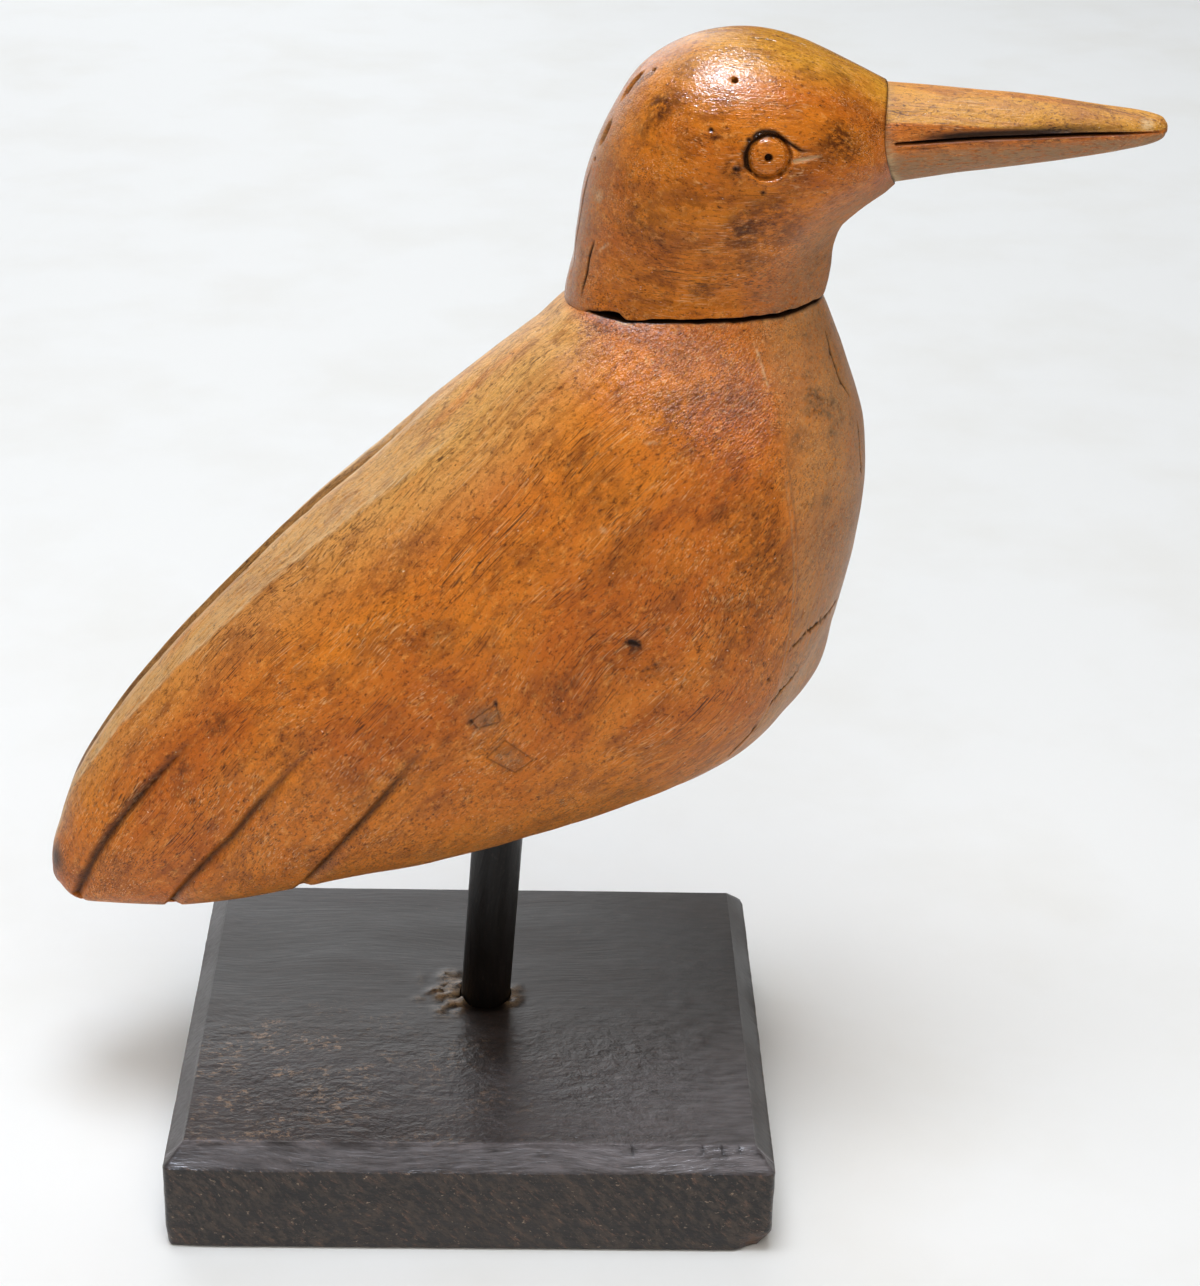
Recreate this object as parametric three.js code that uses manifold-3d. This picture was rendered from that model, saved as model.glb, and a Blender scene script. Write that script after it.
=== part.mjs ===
import * as THREE from 'three';
import { mergeVertices } from 'three/addons/utils/BufferGeometryUtils.js';
import Module from 'manifold-3d';

// Carved wooden bird on a round rod, standing in a chamfered wooden block.
// Millimetres, +Z up, +X towards the beak. The origin is the middle of the block's underside.

const wasm = await Module();
wasm.setup();

// Base block
const baseWidth = 115;
const baseDepth = 98;
const baseHeight = 22;
const baseCornerRadius = 1.4;
const baseChamferWidth = 3.8;
const baseChamferHeight = 4.1;
const baseFootChamfer = 0.6;

// Rod: it leans towards the beak and stands a little behind the middle of the block
const rodRadius = 5;
const rodFootX = 2;
const rodFootY = 5;
const rodLean = THREE.MathUtils.degToRad(3.2);
const rodBottomZ = 10;
const rodTopZ = 79;
const rodSegments = 32;
const holeClearance = 0.3;

// The bird's own middle plane
const birdY = 5;

// Every station of the carving is one slice from the back line to the belly line:
// back x, back z, belly x, belly z, half width, place of the widest point between back and
// belly, roundness above it, roundness below it (2 is an ellipse, more is squarer)
const bodyStations = [
  [-83.8, 52.5, -82.3, 49.0, 3.5, 0.5, 2.2, 2.4],
  [-82.4, 60.0, -77.0, 47.3, 9.5, 0.55, 1.9, 3.0],
  [-78.8, 73.0, -66.0, 48.0, 14.0, 0.6, 1.8, 3.2],
  [-71.0, 86.7, -50.0, 50.3, 18.0, 0.62, 1.75, 3.2],
  [-59.7, 101.6, -31.0, 55.2, 22.0, 0.62, 1.75, 3.0],
  [-46.5, 116.6, -10.0, 60.4, 26.0, 0.6, 1.75, 2.8],
  [-31.7, 131.5, 13.0, 67.4, 29.0, 0.58, 1.8, 2.6],
  [-17.3, 143.6, 34.0, 75.3, 30.5, 0.57, 1.85, 2.5],
  [-5.4, 154.4, 52.5, 85.4, 30.5, 0.56, 1.9, 2.4],
  [3.5, 162.2, 63.6, 101.0, 29.5, 0.55, 2.0, 2.3],
  [8.7, 166.4, 68.7, 118.6, 27.5, 0.54, 2.1, 2.2],
  [12.0, 168.6, 71.2, 135.0, 24.5, 0.53, 2.15, 2.2],
  [14.4, 170.3, 70.4, 150.0, 20.5, 0.52, 2.2, 2.2],
  [15.9, 171.2, 66.5, 163.0, 16.2, 0.51, 2.3, 2.3],
  [16.6, 171.6, 61.4, 174.0, 13.4, 0.5, 2.3, 2.3],
];

const headStations = [
  [16.2, 172.4, 61.3, 174.8, 13.4, 0.5, 2.3, 2.3],
  [16.4, 178.0, 61.3, 176.8, 13.8, 0.5, 2.3, 2.3],
  [17.0, 186.0, 61.3, 179.5, 15.0, 0.5, 2.2, 2.2],
  [18.5, 196.0, 61.6, 182.8, 16.8, 0.5, 2.1, 2.1],
  [21.8, 206.0, 63.0, 186.0, 18.2, 0.5, 2.1, 2.1],
  [27.2, 214.6, 65.0, 188.4, 18.8, 0.5, 2.1, 2.1],
  [35.6, 219.6, 67.2, 190.4, 18.5, 0.5, 2.1, 2.1],
  [45.5, 221.1, 69.0, 191.8, 17.2, 0.5, 2.1, 2.1],
  [54.8, 219.5, 70.7, 193.0, 15.0, 0.5, 2.1, 2.1],
  [62.8, 216.3, 72.0, 194.0, 12.5, 0.5, 2.1, 2.1],
  [70.4, 212.8, 73.0, 194.9, 10.0, 0.5, 2.1, 2.1],
];

// The beak starts smaller than the head, which leaves a stop cut all round its root
const beakStations = [
  [70.0, 212.4, 72.8, 195.2, 8.8, 0.5, 2.1, 2.2],
  [82.0, 211.7, 84.0, 197.2, 7.4, 0.5, 2.1, 2.2],
  [94.0, 210.8, 95.0, 199.0, 5.9, 0.5, 2.1, 2.2],
  [106.0, 209.5, 106.5, 200.6, 4.4, 0.5, 2.1, 2.2],
  [115.0, 208.5, 115.5, 202.0, 3.2, 0.5, 2.1, 2.2],
  [119.0, 207.6, 119.3, 203.2, 2.2, 0.5, 2.1, 2.2],
  [120.3, 206.4, 120.4, 204.6, 1.0, 0.5, 2.0, 2.0],
];

// Groove along the back between the two folded wings: its depth by body station. It narrows
// where it is shallower than the full-width depth.
const valleyHalfWidth = 2.4;
const valleyFullWidthDepth = 1.5;
const valleyDepths = [0, 0, 1.8, 3.2, 3.6, 3.4, 2.6, 1.4, 0, 0, 0, 0, 0, 0, 0];
// Flat bevel beside the groove ends at this angle round the slice
const bevelAngle = THREE.MathUtils.degToRad(22);

// Edge of the wing, by body station: angle round the slice, and height of its step
const wingEdgeDegrees = [120, 125, 130, 135, 138, 140, 141, 141, 140, 131.5, 123.2, 114.5, 110, 108, 106];
const wingStepHeights = [0.2, 0.5, 0.8, 0.9, 0.9, 0.9, 0.9, 0.9, 0.9, 1.0, 1.1, 0.9, 0.4, 0, 0];
const wingStepWidth = THREE.MathUtils.degToRad(3);
const wingSwell = THREE.MathUtils.degToRad(45);

// Feather cuts on the wing: station and degrees round the slice, from the point down to the edge
const featherCuts = [
  [[4.14, 49], [3.95, 50], [3.46, 52.7], [2.91, 57.5], [2.36, 65], [1.79, 77], [1.28, 95], [0.95, 118]],
  [[4.98, 75], [4.71, 77], [4.08, 84.5], [3.41, 98], [2.83, 117], [2.5, 134]],
  [[5.94, 87.5], [5.67, 90], [5.14, 101], [4.59, 114], [4.14, 128], [3.9, 139]],
];
const featherDepth = 1.3;
const featherHalfWidth = 0.95;
// The cuts run out to a point over the first part of their length
const featherTaper = 0.3;

// Eye: a ring cut round a low disc, a pupil hole and a short line to the corner
const eye = { x: 48.8, z: 204.2, ringRadius: 4.0, ringHalfWidth: 0.55, ringDepth: 0.8, segments: 28 };
const pupilRadius = 0.65;
const pupilDepth = 1.2;
const eyeLineEnd = { x: 57.6, z: 204.4 };
const eyeLineHalfWidth = 0.45;
const eyeLineDepth = 0.6;

// Mouth: a slit along each side of the beak
const mouthStart = { x: 72.6, z: 204.9 };
const mouthEnd = { x: 118.6, z: 205.3 };
const mouthDepth = 1.7;
const mouthHalfWidth = 0.5;

// Old worm gouges in the nape and a small hole in the crown: centre, half lengths, lean
const napeGouges = [
  { x: 25.6, z: 212.0, v: 3.4, along: 3.4, across: 0.9, deep: 1.3, lean: 58 },
  { x: 20.9, z: 202.8, v: 3.6, along: 2.6, across: 0.8, deep: 1.2, lean: 72 },
];
const crownHole = { x: 42.7, z: 215.9, radius: 0.55, depth: 1.5 };

// How far every cutter reaches out of the surface that it cuts
const cutterLift = 0.6;

// Fineness of the skins
const ringsPerStation = 3;
const ringsPerBeakStation = 2;
const pointsRoundHead = 28;
const pointRowsOnWing = 9;
const pointRowsOnBelly = 4;
const smallHoleSegments = 12;

// Evenly spaced Catmull-Rom curve through table rows, with mirrored end rows
function alongRows(rows, s) {
  const last = rows.length - 1;
  const at = Math.min(Math.max(s, 0), last);
  const i = Math.min(Math.floor(at), last - 1);
  const t = at - i;
  const row = (k) => {
    if (k < 0) return rows[0].map((value, c) => 2 * value - rows[1][c]);
    if (k > last) return rows[last].map((value, c) => 2 * value - rows[last - 1][c]);
    return rows[k];
  };
  const [before, from, to, after] = [row(i - 1), row(i), row(i + 1), row(i + 2)];
  return from.map((p1, c) => {
    const p0 = before[c];
    const p2 = to[c];
    const p3 = after[c];
    const linear = 0.5 * t * (p2 - p0);
    const square = t * t * (p0 - 2.5 * p1 + 2 * p2 - 0.5 * p3);
    const cube = t * t * t * (1.5 * p1 - 0.5 * p0 - 1.5 * p2 + 0.5 * p3);
    return p1 + linear + square + cube;
  });
}

const alongValues = (values, s) => alongRows(values.map((value) => [value]), s)[0];

function smoothStep(edge0, edge1, value) {
  return THREE.MathUtils.smoothstep(value, edge0, edge1);
}

// Point of the slice at station s and angle a, 0 on the back and PI on the belly
function slicePoint(rows, s, a, valley = 0, swell = 0) {
  const [backX, backZ, bellyX, bellyZ, halfWidth, widest, above, below] = alongRows(rows, s);
  const cos = Math.cos(a);
  const sin = Math.sin(a);
  const power = cos >= 0 ? above : below;
  const reach = (Math.abs(cos) ** power + Math.abs(sin) ** power) ** (-1 / power);
  const sliceHeight = Math.hypot(bellyX - backX, bellyZ - backZ);
  const along = -cos * reach;
  const radius = Math.hypot(halfWidth * sin * reach, sliceHeight * widest * along);
  const grown = 1 + swell / radius;
  const side = halfWidth * sin * reach * grown;
  const part = along * grown;
  let down = part < 0 ? widest * (1 + part) : widest + (1 - widest) * part;
  if (valley > 0 && cos > 0) {
    const narrowing = THREE.MathUtils.clamp(valley / valleyFullWidthDepth, 0.2, 1);
    const half = valleyHalfWidth * narrowing;
    down += (valley / sliceHeight) * Math.max(0, 1 - Math.abs(side) / half);
  }
  return new THREE.Vector3(
    backX + (bellyX - backX) * down,
    birdY - side,
    backZ + (bellyZ - backZ) * down,
  );
}

// Body surface with the groove on the back and the wings standing proud of breast and belly
function bodyPoint(s, a) {
  const valley = Math.max(0, alongValues(valleyDepths, s));
  const edge = THREE.MathUtils.degToRad(alongValues(wingEdgeDegrees, s));
  const step = Math.max(0, alongValues(wingStepHeights, s));
  const fromBack = Math.abs(Math.atan2(Math.sin(a), Math.cos(a)));
  const onWing = 1 - smoothStep(edge, edge + wingStepWidth, fromBack);
  const nearEdge = smoothStep(edge - wingSwell, edge, fromBack);
  return slicePoint(bodyStations, s, a, valley, step * onWing * nearEdge);
}

const headPoint = (s, a) => slicePoint(headStations, s, a);
const beakPoint = (s, a) => slicePoint(beakStations, s, a);

// Angles round half a body slice: rows of points follow the groove, bevel and wing edge
function bodyAngles(s) {
  const halfWidth = alongRows(bodyStations, s)[4];
  const ridge = Math.asin(Math.min(0.5, valleyHalfWidth / halfWidth));
  const bevel = Math.max(bevelAngle, ridge * 1.5);
  const edge = THREE.MathUtils.degToRad(alongValues(wingEdgeDegrees, s));
  const half = [0, ridge, bevel];
  for (let i = 1; i <= pointRowsOnWing; i += 1) {
    half.push(THREE.MathUtils.lerp(bevel, edge, i / pointRowsOnWing));
  }
  for (let i = 0; i < pointRowsOnBelly; i += 1) {
    half.push(THREE.MathUtils.lerp(edge + wingStepWidth, Math.PI, i / pointRowsOnBelly));
  }
  const back = half.slice(1).reverse().map((a) => 2 * Math.PI - a);
  return [...half, Math.PI, ...back];
}

function evenAngles(count) {
  return Array.from({ length: count }, (_, i) => (2 * Math.PI * i) / count);
}

// Closed skin through rings of equal point counts, with a fan over each end
function loft(rings) {
  const count = rings[0].length;
  const points = rings.flat();
  const faces = [];
  for (let i = 0; i < rings.length - 1; i += 1) {
    for (let j = 0; j < count; j += 1) {
      const next = (j + 1) % count;
      const [a, b] = [i * count + j, i * count + next];
      const [c, d] = [(i + 1) * count + next, (i + 1) * count + j];
      faces.push([a, b, c], [a, c, d]);
    }
  }
  for (const [ring, flip] of [[0, true], [rings.length - 1, false]]) {
    const middle = new THREE.Vector3();
    rings[ring].forEach((point) => middle.add(point));
    points.push(middle.divideScalar(count));
    for (let j = 0; j < count; j += 1) {
      const edge = [ring * count + j, ring * count + ((j + 1) % count)];
      if (flip) edge.reverse();
      faces.push([points.length - 1, ...edge]);
    }
  }
  return solidFrom(points, faces);
}

// Solid from points and triangles, turned outwards if the triangles face inwards
function solidFrom(points, faces) {
  const volume = faces.reduce((sum, [a, b, c]) => {
    const cross = new THREE.Vector3().crossVectors(points[b], points[c]);
    return sum + points[a].dot(cross) / 6;
  }, 0);
  const outward = volume < 0 ? faces.map(([a, b, c]) => [a, c, b]) : faces;
  return new wasm.Manifold(new wasm.Mesh({
    numProp: 3,
    vertProperties: new Float32Array(points.flatMap((point) => point.toArray())),
    triVerts: new Uint32Array(outward.flat()),
  }));
}

// The biggest piece of a cut solid, without crumbs that cutters leave at sharp edges
function withoutCrumbs(solid) {
  const pieces = solid.decompose();
  return pieces.reduce((big, piece) => (piece.volume() > big.volume() ? piece : big));
}

// Solid from one of three.js's closed geometries
function solidFromGeometry(geometry) {
  const bare = geometry.clone();
  bare.deleteAttribute('normal');
  bare.deleteAttribute('uv');
  const merged = mergeVertices(bare, 1e-4);
  const place = merged.getAttribute('position');
  const points = [];
  for (let i = 0; i < place.count; i += 1) {
    points.push(new THREE.Vector3().fromBufferAttribute(place, i));
  }
  const index = Array.from(merged.index.array);
  const faces = [];
  for (let i = 0; i < index.length; i += 3) {
    const face = index.slice(i, i + 3);
    if (new Set(face).size === 3) faces.push(face);
  }
  return solidFrom(points, faces);
}

// Upright cylinder stood along a direction from its foot
function rodSolid(foot, direction, length, radius, segments) {
  const shape = new THREE.CylinderGeometry(radius, radius, length, segments);
  shape.translate(0, length / 2, 0);
  const turn = new THREE.Quaternion().setFromUnitVectors(new THREE.Vector3(0, 1, 0), direction);
  shape.applyQuaternion(turn);
  shape.translate(foot.x, foot.y, foot.z);
  return solidFromGeometry(shape);
}

// Outward direction of a surface function at (s, a)
function outwardAt(surface, s, a) {
  const small = 0.02;
  const alongS = surface(s + small, a).sub(surface(s - small, a));
  const alongA = surface(s, a + small).sub(surface(s, a - small));
  const normal = alongS.cross(alongA).normalize();
  const inside = surface(s, a).add(surface(s, a + Math.PI)).multiplyScalar(0.5);
  const out = surface(s, a).sub(inside);
  return normal.dot(out) < 0 ? normal.negate() : normal;
}

// V-shaped cutter that follows surface points
function vCutter(path, depthAt, halfWidthAt) {
  const rings = path.map(({ point, normal }, i) => {
    const before = path[Math.max(i - 1, 0)].point;
    const after = path[Math.min(i + 1, path.length - 1)].point;
    const ahead = after.clone().sub(before).normalize();
    const across = new THREE.Vector3().crossVectors(ahead, normal).normalize();
    const t = i / (path.length - 1);
    const depth = depthAt(t);
    const half = halfWidthAt(t) * ((depth + cutterLift) / depth);
    const top = point.clone().addScaledVector(normal, cutterLift);
    return [
      point.clone().addScaledVector(normal, -depth),
      top.clone().addScaledVector(across, half),
      top.clone().addScaledVector(across, -half),
    ];
  });
  return loft(rings);
}

// Where the head or beak surface lies at a given x and z on one side
function surfaceAt(surface, stationCount, x, z, side) {
  let best = { gap: Infinity };
  let reach = { s: (stationCount - 1) / 2, a: Math.PI / 2, ds: (stationCount - 1) / 2, da: 1.2 };
  for (let pass = 0; pass < 14; pass += 1) {
    for (let i = -6; i <= 6; i += 1) {
      for (let j = -6; j <= 6; j += 1) {
        const s = THREE.MathUtils.clamp(reach.s + (i / 6) * reach.ds, 0, stationCount - 1);
        const a = reach.a + (j / 6) * reach.da;
        const point = surface(s, a);
        const gap = Math.hypot(point.x - x, point.z - z);
        if (gap < best.gap) best = { gap, s, a };
      }
    }
    reach = { s: best.s, a: best.a, ds: reach.ds * 0.5, da: reach.da * 0.5 };
  }
  const a = side * best.a;
  return { point: surface(best.s, a), normal: outwardAt(surface, best.s, a) };
}

const nearSide = 1;
const farSide = -1;
const sides = [nearSide, farSide];

// Bird body: loft, rod socket and feather cuts
function makeBody(rodDirection, rodFoot) {
  const ringCount = (bodyStations.length - 1) * ringsPerStation;
  const rings = Array.from({ length: ringCount + 1 }, (_, i) => {
    const s = i / ringsPerStation;
    return bodyAngles(s).map((a) => bodyPoint(s, a));
  });
  const cutters = [];
  for (const cut of featherCuts) {
    for (const side of sides) {
      const pieces = (cut.length - 1) * 2;
      const path = Array.from({ length: pieces + 1 }, (_, i) => {
        const [s, degrees] = alongRows(cut, i / 2);
        const a = side * THREE.MathUtils.degToRad(degrees);
        return { point: bodyPoint(s, a), normal: outwardAt(bodyPoint, s, a) };
      });
      const grow = (t) => smoothStep(-0.4 * featherTaper, featherTaper, t);
      cutters.push(vCutter(path, (t) => featherDepth * grow(t), (t) => featherHalfWidth * grow(t)));
    }
  }
  const socketLength = rodLength(rodTopZ + holeClearance);
  const socket = rodSolid(rodFoot, rodDirection, socketLength, rodRadius + holeClearance, rodSegments);
  cutters.push(socket);
  return withoutCrumbs(loft(rings).subtract(wasm.Manifold.union(cutters)));
}

const rodLength = (topZ) => (topZ - rodBottomZ) / Math.cos(rodLean);

// Ring-shaped V groove round the eye, made flat and then laid on the surface
function eyeRingCutter(place) {
  const { ringRadius, ringHalfWidth, ringDepth, segments } = eye;
  const half = ringHalfWidth * ((ringDepth + cutterLift) / ringDepth);
  const profile = [
    new THREE.Vector2(ringRadius, -ringDepth),
    new THREE.Vector2(ringRadius + half, cutterLift),
    new THREE.Vector2(ringRadius - half, cutterLift),
    new THREE.Vector2(ringRadius, -ringDepth),
  ];
  const shape = new THREE.LatheGeometry(profile, segments);
  const turn = new THREE.Quaternion();
  turn.setFromUnitVectors(new THREE.Vector3(0, 1, 0), place.normal);
  shape.applyQuaternion(turn);
  shape.translate(place.point.x, place.point.y, place.point.z);
  return solidFromGeometry(shape);
}

function drillCutter(place, radius, depth) {
  const foot = place.point.clone().addScaledVector(place.normal, -depth);
  return rodSolid(foot, place.normal, depth + cutterLift, radius, smallHoleSegments);
}

// V cut along the side of a surface, straight as seen from the side. Its depth and width
// shrink evenly to the given share of the full size at its far end.
function sideCut({ surface, stationCount, from, to, side, pieces, depth, halfWidth, endShare }) {
  const path = Array.from({ length: pieces + 1 }, (_, i) => {
    const x = THREE.MathUtils.lerp(from.x, to.x, i / pieces);
    const z = THREE.MathUtils.lerp(from.z, to.z, i / pieces);
    return surfaceAt(surface, stationCount, x, z, side);
  });
  const shrink = (t) => THREE.MathUtils.lerp(1, endShare, t);
  return vCutter(path, (t) => depth * shrink(t), (t) => halfWidth * shrink(t));
}

function gougeCutter(gouge) {
  const shape = new THREE.IcosahedronGeometry(1, 1);
  shape.scale(gouge.along, gouge.across, gouge.deep);
  shape.rotateY(-THREE.MathUtils.degToRad(gouge.lean));
  shape.translate(gouge.x, birdY - gouge.v, gouge.z);
  return solidFromGeometry(shape);
}

// Head with the beak carved in one with it
function makeHead() {
  const around = evenAngles(pointsRoundHead);
  const headRingCount = (headStations.length - 1) * ringsPerStation;
  const rings = Array.from({ length: headRingCount + 1 }, (_, i) => {
    return around.map((a) => headPoint(i / ringsPerStation, a));
  });
  const beakRingCount = (beakStations.length - 1) * ringsPerBeakStation;
  for (let i = 0; i <= beakRingCount; i += 1) {
    rings.push(around.map((a) => beakPoint(i / ringsPerBeakStation, a)));
  }
  const cutters = [];
  for (const side of sides) {
    const place = surfaceAt(headPoint, headStations.length, eye.x, eye.z, side);
    cutters.push(eyeRingCutter(place));
    cutters.push(drillCutter(place, pupilRadius, pupilDepth));
    cutters.push(sideCut({
      surface: headPoint,
      stationCount: headStations.length,
      from: { x: eye.x + eye.ringRadius, z: eye.z },
      to: eyeLineEnd,
      side,
      pieces: 3,
      depth: eyeLineDepth,
      halfWidth: eyeLineHalfWidth,
      endShare: 0.2,
    }));
    cutters.push(sideCut({
      surface: beakPoint,
      stationCount: beakStations.length,
      from: mouthStart,
      to: mouthEnd,
      side,
      pieces: 12,
      depth: mouthDepth,
      halfWidth: mouthHalfWidth,
      endShare: 0.5,
    }));
  }
  napeGouges.forEach((gouge) => cutters.push(gougeCutter(gouge)));
  const crown = surfaceAt(headPoint, headStations.length, crownHole.x, crownHole.z, nearSide);
  cutters.push(drillCutter(crown, crownHole.radius, crownHole.depth));
  return withoutCrumbs(loft(rings).subtract(wasm.Manifold.union(cutters)));
}

// Outline of the block at one height, set in from its full size
function blockOutline(inset, z) {
  const radius = Math.max(baseCornerRadius - inset, 0.5);
  const cornerSteps = 4;
  const ring = [];
  const corners = [[1, 1, 0], [-1, 1, 90], [-1, -1, 180], [1, -1, 270]];
  for (const [sideX, sideY, startDegrees] of corners) {
    const middleX = sideX * (baseWidth / 2 - inset - radius);
    const middleY = sideY * (baseDepth / 2 - inset - radius);
    for (let i = 0; i <= cornerSteps; i += 1) {
      const turn = THREE.MathUtils.degToRad(startDegrees + (90 * i) / cornerSteps);
      ring.push(new THREE.Vector3(
        middleX + radius * Math.cos(turn),
        middleY + radius * Math.sin(turn),
        z,
      ));
    }
  }
  return ring;
}

// Block with chamfered top edges and a drilled hole for the rod
function makeBase(rodDirection, rodFoot) {
  const block = loft([
    blockOutline(baseFootChamfer, 0),
    blockOutline(0, baseFootChamfer),
    blockOutline(0, baseHeight - baseChamferHeight),
    blockOutline(baseChamferWidth, baseHeight),
  ]);
  const deeper = rodFoot.clone().addScaledVector(rodDirection, -holeClearance);
  const hole = rodSolid(deeper, rodDirection, baseHeight, rodRadius + holeClearance, rodSegments);
  return block.subtract(hole);
}

// Named mesh from a solid
function meshFrom(solid, name, colour, roughness) {
  const { vertProperties, triVerts } = solid.getMesh();
  const geometry = new THREE.BufferGeometry();
  geometry.setAttribute('position', new THREE.BufferAttribute(new Float32Array(vertProperties), 3));
  geometry.setIndex(new THREE.BufferAttribute(new Uint32Array(triVerts), 1));
  geometry.computeVertexNormals();
  const material = new THREE.MeshStandardMaterial({ color: colour, roughness, metalness: 0 });
  const mesh = new THREE.Mesh(geometry, material);
  mesh.name = name;
  return mesh;
}

const rodDirection = new THREE.Vector3(Math.sin(rodLean), 0, Math.cos(rodLean));
const rodFoot = new THREE.Vector3(
  rodFootX - (baseHeight - rodBottomZ) * Math.tan(rodLean),
  rodFootY,
  rodBottomZ,
);

const bird = new THREE.Group();
bird.name = 'wooden_bird_figurine';
bird.add(meshFrom(makeBody(rodDirection, rodFoot), 'bird_body', '#b9702f', 0.5));
bird.add(meshFrom(makeHead(), 'bird_head', '#b87431', 0.5));
const rod = rodSolid(rodFoot, rodDirection, rodLength(rodTopZ), rodRadius, rodSegments);
bird.add(meshFrom(rod, 'stand_rod', '#2a2320', 0.5));
bird.add(meshFrom(makeBase(rodDirection, rodFoot), 'stand_base', '#2b2523', 0.55));

export default bird;
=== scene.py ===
"""Carved wooden bird on a round rod in a dark stained block: finished surfaces and a plain studio.

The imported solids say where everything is. Each piece here repeats its solid's named sizes on a
mesh that is fine enough for the carving, and stands in for that solid. Tables hold millimetres in
the part's frame: +X towards the beak, +Z up, the origin is the middle of the block's underside.
The photograph shows the side that faces -Y, called the near side here.
"""

from __future__ import annotations

import itertools
import logging
import math
from collections.abc import Iterable, Sequence
from dataclasses import dataclass, field
from enum import Enum

import bmesh
import bpy
import numpy as np
from mathutils import Matrix, Vector


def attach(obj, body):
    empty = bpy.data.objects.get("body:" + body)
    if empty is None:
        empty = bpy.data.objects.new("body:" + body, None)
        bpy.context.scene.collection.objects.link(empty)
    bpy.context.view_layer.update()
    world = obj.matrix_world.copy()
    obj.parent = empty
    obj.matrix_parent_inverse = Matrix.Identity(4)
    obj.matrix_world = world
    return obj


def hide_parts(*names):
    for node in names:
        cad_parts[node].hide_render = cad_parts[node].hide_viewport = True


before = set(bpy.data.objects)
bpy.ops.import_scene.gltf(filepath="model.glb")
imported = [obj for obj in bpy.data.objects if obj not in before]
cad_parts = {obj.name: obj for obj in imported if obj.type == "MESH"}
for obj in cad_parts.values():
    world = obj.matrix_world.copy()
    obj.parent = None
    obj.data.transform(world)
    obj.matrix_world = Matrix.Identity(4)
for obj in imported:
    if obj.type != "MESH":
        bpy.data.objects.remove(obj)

MM = 0.001
BODY_NAME = "root"
PHOTO_WIDTH = 1200
PHOTO_HEIGHT = 1286

Array = np.ndarray
Row = tuple[float, ...]


class Side(Enum):
    """The two sides of the bird."""

    NEAR = 1
    FAR = -1


# Shared arithmetic


def smooth_step(low: float, high: float, value: Array) -> Array:
    """Rises smoothly from 0 to 1 while a value goes from one limit to the other.

    Args:
        low: Value with result 0.
        high: Value with result 1; it may be less than low.
        value: The values.

    Returns:
        The results, in the shape of the values.
    """
    t = np.clip((value - low) / (high - low), 0.0, 1.0)
    return t * t * (3.0 - 2.0 * t)


def along_rows(rows: Sequence[Row] | Sequence[float], s: Array) -> Array:
    """Follows an evenly spaced Catmull-Rom curve through table rows, with mirrored end rows.

    Args:
        rows: The table, one row of numbers or one number per station.
        s: Places along the table, 0 at its first row.

    Returns:
        The rows at those places, with their numbers on one more axis.
    """
    table = np.asarray(rows, dtype=float).reshape(len(rows), -1)
    padded = np.vstack([2 * table[0] - table[1], table, 2 * table[-1] - table[-2]])
    last = len(table) - 1
    place = np.clip(np.asarray(s, dtype=float), 0, last)
    index = np.minimum(place.astype(int), last - 1)
    t = (place - index)[..., None]
    before, start, end, after = (padded[index + k] for k in range(4))
    linear = 0.5 * t * (end - before)
    square = t**2 * (before - 2.5 * start + 2.0 * end - 0.5 * after)
    cube = t**3 * (1.5 * start - 0.5 * before - 1.5 * end + 0.5 * after)
    return start + linear + square + cube


def along_values(values: Sequence[float], s: Array) -> Array:
    """Follows the same curve through single numbers."""
    return along_rows(values, s)[..., 0]


def lattice_noise(points: Array, size: float | Row, seed: int) -> Array:
    """Smooth random waves through space.

    Args:
        points: Places, in millimetres, one per row.
        size: Distance between crests, in millimetres, or one distance for each axis.
        seed: Picks the pattern.

    Returns:
        One value from -1 to 1 for each place.
    """
    count = 32
    lattice = np.random.default_rng(seed).uniform(-1.0, 1.0, (count, count, count))
    place = points / np.asarray(size, dtype=float) + 1000.0
    cell = np.floor(place).astype(int)
    t = place - cell
    t = t * t * (3.0 - 2.0 * t)
    total = np.zeros(len(points))
    for corner in itertools.product((0, 1), repeat=3):
        weight = np.prod(np.where(corner, t, 1.0 - t), axis=1)
        index = (cell + corner) % count
        total += weight * lattice[index[:, 0], index[:, 1], index[:, 2]]
    return total


def layered_noise(points: Array, size: float, seed: int, layers: int = 3) -> Array:
    """Adds noise of ever smaller waves, each half as high as the one before."""
    shares = 0.5 ** np.arange(layers)
    parts = (lattice_noise(points, size * share, seed + k) * share for k, share in enumerate(shares))
    return sum(parts) / shares.sum()


def even_places(start: float, end: float, step: float) -> Array:
    """Places from start to end with about the given step, both ends included."""
    return np.linspace(start, end, max(1, round(abs(end - start) / step)) + 1)


# The surface as slices


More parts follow.
